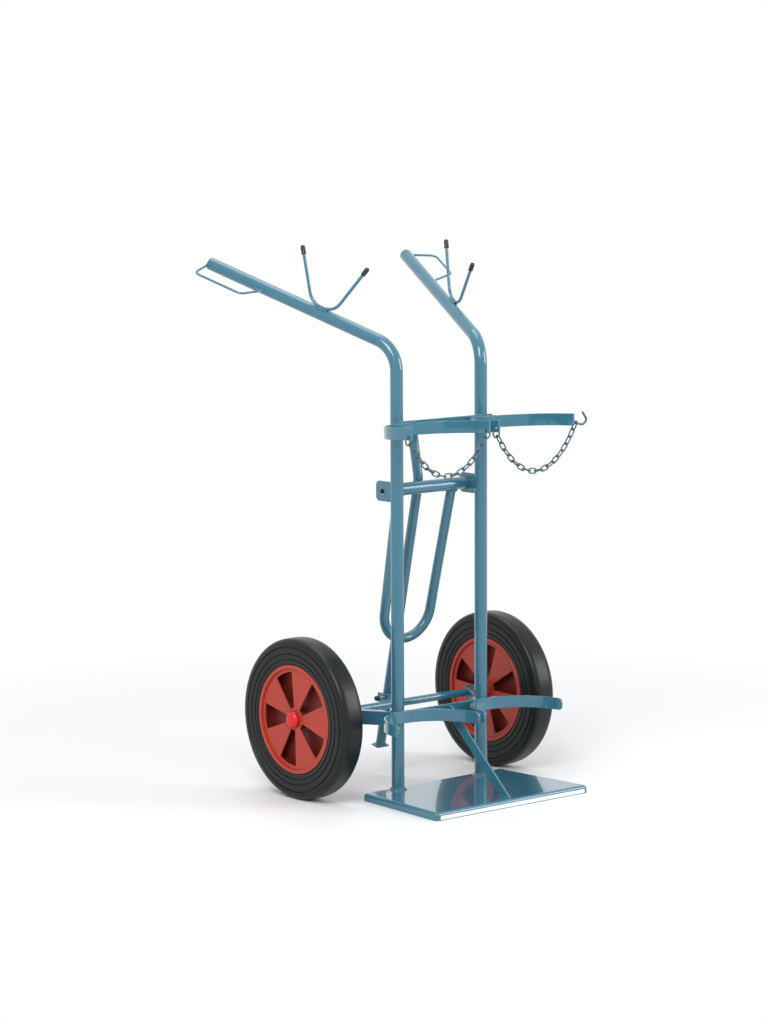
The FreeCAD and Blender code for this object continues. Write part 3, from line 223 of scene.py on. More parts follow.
def shared_effect(name, inputs, outputs, build):
    """A node group with named inputs and outputs, built once by build(wire, given)."""
    group = bpy.data.node_groups.get(name)
    if group:
        return group
    group = bpy.data.node_groups.new(name, "ShaderNodeTree")
    sockets = group.interface
    for label, value in inputs.items():
        kind = "NodeSocketFloat" if isinstance(value, float) else "NodeSocketColor"
        sockets.new_socket(name=label, in_out="INPUT", socket_type=kind).default_value = value
    for label, kind in outputs.items():
        sockets.new_socket(name=label, in_out="OUTPUT", socket_type="NodeSocket" + kind)
    wire = Wiring(group)
    given = group.nodes.new("NodeGroupInput").outputs
    wire.feed(group.nodes.new("NodeGroupOutput"), build(wire, given))
    return group


def surface_group():
    """Shared effect: soft colour drift, roughness drift and a fine skin bump."""
    inputs = {"Colour": (0.5, 0.5, 0.5, 1), "Drift": 0.05, "Patch scale": 6.0, "Roughness": 0.3,
              "Roughness drift": 0.06, "Skin scale": 300.0, "Skin bump": 0.02}
    outputs = {"Colour": "Color", "Roughness": "Float", "Normal": "Vector"}

    def build(wire, given):
        place = wire.add("TexCoord", {}).outputs["Object"]
        patch = wire.add("TexNoise", {"Vector": place, "Scale": given["Patch scale"], "Detail": 4})
        centred = wire.maths("SUBTRACT", patch.outputs["Fac"], 0.5)
        swing = wire.maths("MULTIPLY_ADD", centred, given["Drift"], 1.0)
        rough = wire.maths("MULTIPLY_ADD", centred, given["Roughness drift"], given["Roughness"])
        skin = wire.add("TexNoise", {"Vector": place, "Scale": given["Skin scale"], "Detail": 2})
        bump = wire.add("Bump", {"Distance": 0.001, "Strength": given["Skin bump"],
                                 "Height": skin.outputs["Fac"]})
        return {"Colour": wire.scaled(given["Colour"], swing), "Roughness": rough,
                "Normal": bump.outputs["Normal"]}

    return shared_effect("Surface drift", inputs, outputs, build)


def recess_group():
    """Painted shade for both rims: the colour darkens in the space between a rim's two webs, where shade
    falls in the recess.
    """
    inputs = {"Colour": (0.5, 0.5, 0.5, 1), "Wheel plane": middle("tyre_right").x, "Web inside": 0.0205,
              "Web outside": 0.0250, "Shade tone": 0.36}

    def build(wire, given):
        place = wire.add("SeparateXYZ", {0: wire.add("TexCoord", {}).outputs["Object"]})
        aside = wire.maths("ABSOLUTE", place.outputs["X"])
        depth = wire.maths("ABSOLUTE", wire.maths("SUBTRACT", aside, given["Wheel plane"]))
        # painted shade: the colour is multiplied down to the shade tone between the webs
        tone = wire.add("MapRange", {"Value": depth, "From Min": given["Web inside"], "To Max": 1.0,
                                     "From Max": given["Web outside"], "To Min": given["Shade tone"]},
                        interpolation_type="SMOOTHSTEP")
        return {"Colour": wire.scaled(given["Colour"], tone.outputs["Result"])}

    return shared_effect("Painted recess shade", inputs, {"Colour": "Color"}, build)


def finish_material(name, colour, drift, patch, rough, rough_drift, skin, bump, metallic=0.0, coat=0.0,
                    coat_rough=0.1, specular=0.5, recess=False):
    """A finish made from the shared effects and one Principled shader."""
    made = bpy.data.materials.get(name)
    if made:
        return made
    made = bpy.data.materials.new(name)
    made.use_nodes = True
    made.diffuse_color = (*colour, 1)
    wire = Wiring(made.node_tree)
    effect = wire.add("Group", {}, node_tree=surface_group())
    wire.feed(effect, {"Colour": (*colour, 1), "Drift": drift, "Patch scale": patch, "Roughness": rough,
                       "Roughness drift": rough_drift, "Skin scale": skin, "Skin bump": bump})
    base = effect.outputs["Colour"]
    # painted shade: the rim's colour is darkened inside the recess between its webs
    if recess:
        base = wire.add("Group", {"Colour": base}, node_tree=recess_group()).outputs["Colour"]
    wire.feed(wire.nodes["Principled BSDF"], {
        "Base Color": base, "Roughness": effect.outputs["Roughness"], "Normal": effect.outputs["Normal"],
        "Metallic": metallic, "Coat Weight": coat, "Coat Roughness": coat_rough,
        "Specular IOR Level": specular})
    return made


def finishes():
    """Every finish, keyed by the record's slot."""
    c = colours()
    make = finish_material
    # name, colour, drift, patch scale, roughness, roughness drift, skin scale, skin bump
    return {
        "frame_paint": make("Frame enamel", c.paint, 0.10, 5, 0.24, 0.08, 260, 0.04, coat=0.85,
                            coat_rough=0.05, specular=0.3),
        # the rim's finish has painted shade in the recess between its webs
        "rim_plastic": make("Rim plastic", c.rim, 0.16, 9, 0.40, 0.10, 420, 0.10, specular=0.4, recess=True),
        "cap_plastic": make("Hub cap plastic", c.cap, 0.05, 20, 0.22, 0.05, 500, 0.02, coat=0.15,
                            specular=0.35),
        "tyre_rubber": make("Tyre rubber", c.rubber, 0.30, 12, 0.33, 0.12, 700, 0.10, specular=0.28),
        "chain_steel": make("Chain plating", c.chain, 0.35, 60, 0.36, 0.16, 900, 0.08, metallic=0.6),
        "bright_steel": make("Bright steel", c.steel, 0.10, 40, 0.30, 0.12, 800, 0.05, metallic=1.0),
        "black_plastic": make("Black plastic", c.black, 0.20, 40, 0.42, 0.10, 900, 0.08),
        "bush_plastic": make("Bush plastic", c.bush, 0.10, 40, 0.50, 0.08, 700, 0.05),
    }


# ---------------------------------------------------------------- modelling

def vertices(geometry):
    """The vertices among an operator's results."""
    return [g for g in geometry if isinstance(g, bmesh.types.BMVert)]


def edges(geometry):
    """The edges among an operator's results."""
    return [g for g in geometry if isinstance(g, bmesh.types.BMEdge)]


def sharp(edge, degrees):
    """True where two faces meet at more than that angle."""
    return len(edge.link_faces) == 2 and edge.calc_face_angle(0) > math.radians(degrees)


def runs_along(edge, axis, distance):
    """True where an edge's ends differ by more than that distance along an axis."""
    return abs((edge.verts[0].co - edge.verts[1].co).dot(axis)) > distance


def roll(bm, chosen, offset, segments):
    """Rounds the chosen edges."""
    bmesh.ops.bevel(bm, geom=chosen, offset=offset, offset_type="OFFSET", segments=segments, profile=0.5,
                    affect="EDGES", clamp_overlap=True, material=-1)


def soften(bm, offset, segments=2, degrees=60, pick=None):
    """Rounds the sharp edges that pick() accepts."""
    chosen = [e for e in bm.edges if sharp(e, degrees) and (pick is None or pick(e))]
    if chosen:
        roll(bm, chosen, offset, segments)


def spun(bm, geom, axis, angle, steps, centre=(0, 0, 0), merge=False):
    """Spins geometry about an axis and returns what ends the spin."""
    out = bmesh.ops.spin(bm, geom=geom, cent=centre, axis=axis, dvec=(0, 0, 0), angle=angle, steps=steps,
                         use_merge=merge, use_normal_flip=False, use_duplicate=False)
    return out["geom_last"]


def full_turn(bm, geom, steps):
    """Spins geometry once round X and closes the seam."""
    spun(bm, geom, X, 2 * math.pi, steps, merge=True)
    bmesh.ops.remove_doubles(bm, verts=bm.verts, dist=WELD_TOGETHER)


def linked_object(name, bm):
    """A scene object made from a bmesh, which it frees."""
    mesh = bpy.data.meshes.new(name)
    bm.to_mesh(mesh)
    bm.free()
    made = bpy.data.objects.new(name, mesh)
    bpy.context.scene.collection.objects.link(made)
    return made


def add_piece(bm, name, body, slot, replaces=(), place=None, crease=38, weighted=False):
    """Turns a bmesh into a piece that rides on a body, with its finish and smooth shading."""
    if place is not None:
        bmesh.ops.transform(bm, matrix=place, verts=bm.verts)
    bmesh.ops.remove_doubles(bm, verts=bm.verts, dist=WELD_TOGETHER)
    bmesh.ops.recalc_face_normals(bm, faces=bm.faces)
    for face in bm.faces:
        face.smooth = True
    for edge in bm.edges:
        edge.smooth = not sharp(edge, crease)
    piece = linked_object(name, bm)
    piece.data.materials.append(finishes()[slot])
    if weighted:
        even = piece.modifiers.new("Even shading", "WEIGHTED_NORMAL")
        even.keep_sharp = True
    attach(piece, body)
    if replaces:
        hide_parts(*replaces)
    return piece


def add_painted(bm, name, replaces, place=None, body="cart"):
    """Adds a piece of the frame or the stand in its enamel, with even shading."""
    return add_piece(bm, name, body, "frame_paint", replaces, place, weighted=True)


def join_into(target, source, place=None):
    """Adds one bmesh to another, moved to its place, and frees it."""
    if place is not None:
        bmesh.ops.transform(source, matrix=place, verts=source.verts)
    mesh = bpy.data.meshes.new("joined")
    source.to_mesh(mesh)
    source.free()
    target.from_mesh(mesh)
    bpy.data.meshes.remove(mesh)


def aimed(point, start, heading):
    """A matrix that turns one direction to another and moves the origin to a point."""
    return Matrix.Translation(point) @ start.rotation_difference(heading).to_matrix().to_4x4()


def both_sides(half):
    """An outline of (x, y) from its half at positive X."""
    return half + [(-x, y) for x, y in reversed(half)]


def edgewise(x):
    """A matrix that stands a plate up, so that its outline lies in YZ at that X."""
    return Matrix(((0, 0, 1, x), (1, 0, 0, 0), (0, 1, 0, 0), (0, 0, 0, 1)))


def frame_matrix(origin, heading, up):
    """A matrix whose Z runs along heading and whose Y is as near up as it can be."""
    z = heading.normalized()
    x = up.cross(z).normalized()
    y = z.cross(x)
    return Matrix.Translation(origin) @ Matrix((x, y, z)).transposed().to_4x4()


class Sweep:
    """Draws a bar by extruding and spinning the loop at its end, in the plane of heading and side."""

    def __init__(self, bm, origin, heading, side, radius=None, width=None, depth=None, segments=None):
        self.bm = bm
        self.at = Vector(origin)
        self.heading = Vector(heading).normalized()
        self.side = Vector(side).normalized()
        self.normal = self.heading.cross(self.side)
        spot = frame_matrix(self.at, self.heading, self.normal)
        if radius is not None:
            made = bmesh.ops.create_circle(bm, cap_ends=False, segments=segments or sizes().round_segments,
                                           radius=radius, matrix=spot)
        else:
            square = Matrix.Diagonal((width, depth, 1, 1)) @ Matrix.Rotation(math.pi / 4, 4, "Z")
            made = bmesh.ops.create_circle(bm, cap_ends=False, segments=4, radius=math.sqrt(0.5),
                                           matrix=spot @ square)
        self.verts = made["verts"]
        self.edges = list(dict.fromkeys(e for v in self.verts for e in v.link_edges))
        self.first = list(self.edges)

    def take(self, geometry):
        """Remembers the loop that now ends the bar."""
        self.verts = vertices(geometry)
        ends = set(self.verts)
        self.edges = [e for e in edges(geometry) if set(e.verts) <= ends]

    def run(self, distance):
        """A straight length."""
        self.take(bmesh.ops.extrude_edge_only(self.bm, edges=self.edges)["geom"])
        bmesh.ops.translate(self.bm, verts=self.verts, vec=self.heading * distance)
        self.at = self.at + self.heading * distance

    def bend(self, radius, angle, steps):
        """An arc towards side, or away from it where angle is negative."""
        centre = self.at + self.side * math.copysign(radius, angle)
        self.take(spun(self.bm, self.verts + self.edges, self.normal, angle, steps, centre))
        turn = Matrix.Rotation(angle, 3, self.normal)
        self.at = centre + turn @ (self.at - centre)
        self.heading = turn @ self.heading
        self.side = turn @ self.side

    def close(self):
        """Caps both ends."""
        for loop in (self.first, self.edges):
            bmesh.ops.contextual_create(self.bm, geom=loop)


def follow(bm, points, radii, across, radius, segments=None, steps_per_turn=40):
    """A round rod through corner points in one plane; across is the plane's normal."""
    points = [Vector(p) for p in points]
    heading = (points[1] - points[0]).normalized()
    reaches = [0.0]
    turns = []
    for i in range(1, len(points) - 1):
        before = (points[i] - points[i - 1]).normalized()
        after = (points[i + 1] - points[i]).normalized()
        angle = before.angle(after)
        turns.append(math.copysign(angle, before.cross(after).dot(across)))
        reaches.append(radii[i - 1] * math.tan(angle / 2))
    reaches.append(0.0)
    bar = Sweep(bm, points[0], heading, across.cross(heading), radius=radius, segments=segments)
    for i in range(len(points) - 1):
        bar.run((points[i + 1] - points[i]).length - reaches[i] - reaches[i + 1])
        if i < len(turns):
            bar.bend(radii[i], turns[i], max(4, round(abs(turns[i]) / (2 * math.pi) * steps_per_turn)))
    bar.close()


def turned(bm, outline, steps, place=None):
    """A shape turned about X from corners of (x, radius)."""
    verts = [bm.verts.new((x, 0, r)) for x, r in outline]
    rings = [bm.edges.new((a, b)) for a, b in zip(verts, verts[1:])]
    if outline[0][1] > 0 and outline[-1][1] > 0:
        rings.append(bm.edges.new((verts[-1], verts[0])))
    full_turn(bm, verts + rings, steps)
    bmesh.ops.recalc_face_normals(bm, faces=bm.faces)
    if place is not None:
        bmesh.ops.transform(bm, matrix=place, verts=bm.verts)


def ring_bead(bm, centre, axis, radius, bead, steps=48, ripples=22):
    """A rippled weld bead round a tube."""
    part = bmesh.new()
    bmesh.ops.create_circle(part, cap_ends=False, segments=10, radius=bead,
                            matrix=Matrix.Translation((0, 0, radius)) @ Matrix.Rotation(math.pi / 2, 4, "X"))
    full_turn(part, part.verts[:] + part.edges[:], steps)
    for vert in part.verts:
        around = math.atan2(vert.co.y, vert.co.z)
        out = Vector((0, vert.co.y, vert.co.z)).normalized() * radius
        vert.co = out + (vert.co - out) * (1 + 0.16 * math.sin(around * ripples))
    join_into(bm, part, aimed(centre, X, axis))


def foot_fillet(bm, height, radius, leg):
    """A conical weld fillet round the foot of a tube."""
    part = bmesh.new()
    turned(part, [(0, radius - 0.001), (0, radius + leg), (leg * 0.16, radius + leg * 0.94),
                  (leg * 0.62, radius + leg * 0.40), (leg, radius + leg * 0.10),
                  (leg * 1.06, radius - 0.001)], 60)
    for vert in part.verts:
        around = math.atan2(vert.co.y, vert.co.z)
        swell = 1 + 0.05 * math.sin(around * 19) * min(1.0, vert.co.x / leg * 3)
        vert.co.y *= swell
        vert.co.z *= swell
    join_into(bm, part, Matrix.Translation((0, 0, height)) @ Matrix.Rotation(-math.pi / 2, 4, "Y"))


def line_bead(bm, start, end, bead, ripple=0.004):
    """A straight rippled weld bead with rounded ends."""
    start, end = Vector(start), Vector(end)
    run = end - start
    part = bmesh.new()
    steps = max(3, int(run.length / ripple) * 2)
    bar = Sweep(part, (0, 0, 0), Z, X, radius=bead, segments=10)
    for _ in range(steps):
        bar.run(run.length / steps)
    bar.close()
    for vert in part.verts:
        swell = 1 + 0.14 * math.sin(vert.co.z / ripple * 2 * math.pi)
        near = min(vert.co.z, run.length - vert.co.z)
        swell *= math.sqrt(max(0.12, min(1.0, near / (1.6 * bead) + 0.12)))
        vert.co.x *= swell
        vert.co.y *= swell
    join_into(bm, part, aimed(start, Z, run.normalized()))


def standing_beads(bm, places, low, high, bead):
    """Upright weld beads at places of (x, y), from one height to another."""
    for x, y in places:
        line_bead(bm, (x, y, low), (x, y, high), bead)


def block(bm, centre, size):
    """A box from its centre and its three sizes."""
    bmesh.ops.create_cube(bm, size=1.0, matrix=Matrix.Translation(centre) @ Matrix.Diagonal((*size, 1)))


def plate(bm, outline, thickness, place):
    """A flat plate from its outline in XY, centred on Z = 0 and then moved to its place."""
    face = bm.faces.new([bm.verts.new((x, y, -thickness / 2)) for x, y in outline])
    out = bmesh.ops.extrude_face_region(bm, geom=[face])
    bmesh.ops.translate(bm, verts=vertices(out["geom"]), vec=(0, 0, thickness))
    bmesh.ops.recalc_face_normals(bm, faces=bm.faces)
    bmesh.ops.transform(bm, matrix=place, verts=bm.verts)


def drilled(bm, holes):
    """The bmesh with round holes cut along X: holes are (centre, radius, depth)."""
    blank = linked_object("blank", bm)
    askew = Vector((0.3, 0.5, 0.81))
    cutters = []
    for centre, radius, depth in holes:
        tool = bmesh.new()
        spot = frame_matrix(Vector(centre), X, askew)
        bmesh.ops.create_cone(tool, cap_ends=True, cap_tris=False, segments=32, radius1=radius,
                              radius2=radius, depth=depth, matrix=spot)
        cutter = linked_object("cutter", tool)
        cut = blank.modifiers.new("hole", "BOOLEAN")
        cut.operation = "DIFFERENCE"
        cut.solver = "EXACT"
        cut.object = cutter
        cutters.append(cutter)
    bpy.context.view_layer.update()
    seen = blank.evaluated_get(bpy.context.evaluated_depsgraph_get())
    result = bmesh.new()
    result.from_mesh(seen.to_mesh())
    seen.to_mesh_clear()
    for item in cutters + [blank]:
        data = item.data
        bpy.data.objects.remove(item)
        bpy.data.meshes.remove(data)
    if not result.faces:
        raise RuntimeError("a drilled piece came out empty")
    return result


# ---------------------------------------------------------------- frame

def handle_matrix(side):
    """The upright's foot, with X out along the handle's plan direction."""
    s = sizes()
    turn = Matrix.Rotation(math.pi / 2 - side * s.handle_splay, 4, "Z")
    return Matrix.Translation((side * s.upright_aside, UPRIGHT_Y, 0)) @ turn


def grip_matrix(side):
    """The handle's corner, with X along the handle and Z square to it."""
    s = sizes()
    corner = Matrix.Translation((0, 0, s.corner_height)) @ Matrix.Rotation(-s.handle_rise, 4, "Y")
    return handle_matrix(side) @ corner


class TORCH_OT_handles(bpy.types.Operator):
    """Bent handle tubes with their welded end discs and foot beads"""
    bl_idname = "torch_cart.handles"
    bl_label = "Handle tubes"

    def execute(self, context):
        s = sizes()
        corner = Vector((0, 0, s.corner_height))
        end = corner + Vector((math.cos(s.handle_rise), 0, math.sin(s.handle_rise))) * s.handle_length
        for word, side in SIDES:
            bm = bmesh.new()
            follow(bm, [(0, 0, PLATE_TOP), corner, end], [s.bend_radius], Y, s.tube_radius,
                   steps_per_turn=120)
            soften(bm, 0.0035, 4, pick=lambda e: (e.verts[0].co - end).length < 2 * s.tube_radius)
            foot_fillet(bm, PLATE_TOP, s.tube_radius, 0.006)
            add_painted(bm, "HandleTube_" + word, (word + "_handle_tube", word + "_handle_plug"),
                        handle_matrix(side))
        return {"FINISHED"}


class TORCH_OT_hooks(bpy.types.Operator):
    """Hose hooks with covered tips, and the knuckle guards"""
    bl_idname = "torch_cart.hooks"
    bl_label = "Hooks and guards"

    def execute(self, context):
        s = sizes()
        for word, side in SIDES:
            self.hook(word, side, s)
            self.guard(word, side, s)
        return {"FINISHED"}

    def hook(self, word, side, s):
        """A rod bent to two prongs, welded to the handle's top, with a soft cover on each tip."""
        seat = math.sqrt((s.tube_radius + s.hook_rod + 0.0001) ** 2 - s.hook_aside ** 2)
        front, rear = 0.1895, 0.2545
        front_rise, rear_rise = 0.135, 0.121
        first, second = Vector((front, 0, seat)), Vector((rear, 0, seat))
        front_tip = Vector((front - front_rise * math.tan(math.radians(21.5)), 0, seat + front_rise))
        rear_tip = Vector((rear + rear_rise * math.tan(math.radians(30.5)), 0, seat + rear_rise))
        place = grip_matrix(side) @ Matrix.Translation((0, -side * s.hook_aside, 0))
        bm = bmesh.new()
        follow(bm, [front_tip, first, second, rear_tip], [s.hook_bend] * 2, Y, s.hook_rod, segments=20,
               steps_per_turn=90)
        lean = math.asin(s.hook_aside / (s.tube_radius + s.hook_rod))
        spread = 0.24
        skin = s.tube_radius + 0.0010
        for away in (lean - spread, lean + spread):
            y = side * (s.hook_aside - skin * math.sin(away))
            z = skin * math.cos(away)
            line_bead(bm, (0.2065, y, z), (0.2400, y, z), s.bead)
        add_piece(bm, "HoseHook_" + word, "cart", "frame_paint", (word + "_hose_hook",), place)
        bm = bmesh.new()
        for tip, inner in ((front_tip, first), (rear_tip, second)):
            cover = bmesh.new()
            turned(cover, [(-0.0200, 0.0040), (-0.0200, 0.0056), (-0.0192, 0.0062), (-0.0172, 0.0062),
                           (-0.0164, 0.0057), (-0.0040, 0.0060), (-0.0010, 0.0057), (0.0012, 0.0047),
                           (0.0025, 0.0030), (0.0030, 0.0)], 32)
            join_into(bm, cover, aimed(tip, X, (tip - inner).normalized()))
        add_piece(bm, "HookTips_" + word, "cart", "black_plastic", (word + "_hook_tips",), place)

    def guard(self, word, side, s):
        """A rod bent round the knuckles, with both ends welded to the handle."""
        run, dip = (s.guard_run_right, 0) if side > 0 else (s.guard_run_left, -s.guard_dip)
        back = s.handle_length - 0.003
        outer = back - 0.008
        outline = [(back, 0.0162), (outer, s.guard_reach), (outer - run, s.guard_reach),
                   (back - 0.172, 0.0172)]
        points = [Vector((x, -side * y, 0)) for x, y in outline]
        bm = bmesh.new()
        follow(bm, points, [s.guard_bend] * 2, Z, s.guard_rod, segments=16, steps_per_turn=72)
        for point in (points[0], points[-1]):
            spot = point + Vector((0, side * 0.0004, 0))
            ring_bead(bm, spot, Y, s.guard_rod, s.bead * 0.55, steps=24, ripples=9)
        add_piece(bm, "KnuckleGuard_" + word, "cart", "frame_paint", (word + "_knuckle_guard",),
                  grip_matrix(side) @ Matrix.Rotation(dip, 4, "X"))


class TORCH_OT_plate(bpy.types.Operator):
    """Folded toe plate with a bright steel strip along its front lip, put there as a painted reflection of
    the lamps on the lip
    """
    bl_idname = "torch_cart.plate"
    bl_label = "Toe plate"

    def execute(self, context):
        low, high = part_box("toe_plate")
        back, front = 0.229, 0.251
        sheet, fold, corner = 0.004, 0.008, 0.010
        bm = bmesh.new()
        outline = [(-back, high.y), (-front, low.y), (front, low.y), (back, high.y)]
        plate(bm, outline, high.z, Matrix.Translation((0, 0, high.z / 2)))
        roll(bm, [e for e in bm.edges if runs_along(e, Z, 0.01)], corner, 6)
        top = [e for e in bm.edges if min(v.co.z for v in e.verts) > high.z - 1e-5 and sharp(e, 60)]
        roll(bm, top, fold, 8)
        under = [f for f in bm.faces if max(v.co.z for v in f.verts) < 1e-5]
        bmesh.ops.inset_region(bm, faces=under, thickness=sheet, depth=0, use_even_offset=True,
                               use_boundary=True)
        out = bmesh.ops.extrude_face_region(bm, geom=under)
        bmesh.ops.delete(bm, geom=under, context="FACES")
        bmesh.ops.translate(bm, verts=vertices(out["geom"]), vec=(0, 0, high.z - sheet))
        soften(bm, 0.0006)
        add_painted(bm, "ToePlate", ("toe_plate",))
        # painted reflection: a bright steel strip stands in for the lamps' shine on the front lip
        self.strip(low.y - 0.0003, front - 0.0125, 0.0020, high.z - fold - 0.0002)
        return {"FINISHED"}

    def strip(self, y, half, bottom, top):
        """A thin bright steel strip, round at its ends, on the face of the front lip: a painted reflection
        that stands in for the lamps' shine on the lip.
        """
        bm = bmesh.new()
        upright = Matrix(((1, 0, 0, 0), (0, 0, 1, y), (0, 1, 0, 0), (0, 0, 0, 1)))
        plate(bm, [(-half, bottom), (half, bottom), (half, top), (-half, top)], 0.0009, upright)
        roll(bm, [e for e in bm.edges if runs_along(e, Y, 0.0005)], 0.0030, 5)
        soften(bm, 0.0002)
        add_piece(bm, "LipPaintedReflection", "cart", "bright_steel", weighted=True)


def half_round(bm, inner, arm, s):
    """A flat bar: arm, half circle, arm; its back touches Y = 0 and its foot Z = 0."""
    radius = inner + s.bar_thick / 2
    start = Vector((-radius, -(inner + s.bar_thick) - arm, s.bar_depth / 2))
    bar = Sweep(bm, start, Y, X, width=s.bar_thick, depth=s.bar_depth)
    bar.run(arm)
    bar.bend(radius, math.pi, 48)
    bar.run(arm)
    bar.close()


class TORCH_OT_cradles(bpy.types.Operator):
    """Crossbars, cylinder cradles and the centre strut with their weld beads"""
    bl_idname = "torch_cart.cradles"
    bl_label = "Cradles and strut"

    def execute(self, context):
        s = sizes()
        for word in ("lower", "upper"):
            self.crossbar(word, s)
        for word, side in SIDES:
            self.lower(word, side, s)
            self.upper(word, side, s)
        self.strut(s)
        return {"FINISHED"}

    def crossbar(self, word, s):
        """A flat bar across both uprights."""
        low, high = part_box(word + "_crossbar")
        bm = bmesh.new()
        block(bm, (low + high) / 2, high - low)
        soften(bm, s.edge_round, 3)
        weld_y, weld_aside, inset = high.y + 0.0014, 0.0085, 0.002
        for upright in (-s.upright_aside, s.upright_aside):
            places = [(upright + x, weld_y) for x in (-weld_aside, weld_aside)]
            standing_beads(bm, places, low.z + inset, high.z - inset, s.bead)
        add_painted(bm, word.capitalize() + "Crossbar", (word + "_crossbar",))

    def lower(self, word, side, s):
        """A half-round cradle whose tips have their corners cut round."""
        low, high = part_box("lower_cradle_" + word)
        bm = bmesh.new()
        half_round(bm, s.lower_inner, s.lower_arm, s)
        tip = s.tip_radius
        tips_y = -(s.lower_inner + s.bar_thick + s.lower_arm)
        for up in (-1, 1):
            heart = Vector((0, tips_y + tip, s.bar_depth / 2 + up * (s.bar_depth / 2 - tip)))
            for degrees in range(9, 90, 18):
                angle = math.radians(degrees)
                away = Vector((0, -math.cos(angle), up * math.sin(angle)))
                cut = bmesh.ops.bisect_plane(bm, geom=bm.verts[:] + bm.edges[:] + bm.faces[:], dist=1e-7,
                                             plane_co=heart + away * tip, plane_no=away, clear_outer=True)
                bmesh.ops.holes_fill(bm, edges=edges(cut["geom_cut"]))
        soften(bm, s.edge_round, 3)
        sunk = 0.0008
        for side_x in (-1, 1):
            for z in (s.bar_depth - sunk, sunk):
                line_bead(bm, (side_x * 0.008, -0.0004, z), (side_x * 0.032, -0.0008, z), s.bead * 0.7)
        add_painted(bm, "LowerCradle_" + word, ("lower_cradle_" + word,),
                    Matrix.Translation((side * s.cradle_aside, high.y, low.z)))

    def upper(self, word, side, s):
        """A half-round cradle with straight arms, tilted, with chain holes in its tips."""
        low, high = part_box("upper_cradle_" + word)
        bm = bmesh.new()
        half_round(bm, s.upper_inner, s.upper_arm, s)
        soften(bm, s.edge_round, 3)
        hole_y = 0.012 - s.upper_arm - s.upper_inner - s.bar_thick
        aside = s.upper_inner + s.bar_thick / 2
        ends = (-1, 1) if side < 0 else (-1,)
        bm = drilled(bm, [((end * aside, hole_y, s.bar_depth - 0.021), 0.0045, 0.02) for end in ends])
        top, bottom = s.bar_depth - 0.0008, 0.0042
        for side_x in (-1, 1):
            line_bead(bm, (side_x * 0.008, -0.0002, top), (side_x * 0.030, -0.0004, top), s.bead * 0.7)
            line_bead(bm, (side_x * 0.008, 0.0014, bottom), (side_x * 0.030, 0.0010, bottom), s.bead * 0.8)
        back = high.y - s.bar_depth * math.sin(s.cradle_tilt)
        place = Matrix.Translation((side * s.cradle_aside, back, low.z))
        add_painted(bm, "UpperCradle_" + word, ("upper_cradle_" + word,),
                    place @ Matrix.Rotation(-s.cradle_tilt, 4, "X"))

    def strut(self, s):
        """A flat bar that slopes from the toe plate up to the lower crossbar."""
        low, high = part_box("centre_strut")
        slope, reach, depth = math.radians(42.6), 0.260, 0.025
        foot = UPRIGHT_Y - reach
        under = foot + depth / math.sin(slope)
        outline = [(foot, low.z), (under, low.z), (high.y, low.z + (high.y - under) * math.tan(slope)),
                   (high.y, high.z), (foot + (high.z - low.z) / math.tan(slope), high.z)]
        bm = bmesh.new()
        plate(bm, outline, high.x - low.x, edgewise(0))
        soften(bm, s.edge_round, 3, 20)
        for x in (low.x - 0.0006, high.x + 0.0006):
            line_bead(bm, (x, foot + 0.006, low.z + 0.001), (x, under - 0.001, low.z + 0.001), s.bead)
            standing_beads(bm, [(x, high.y - 0.001)], high.z - 0.029, high.z - 0.002, s.bead)
        add_painted(bm, "CentreStrut", ("centre_strut",))


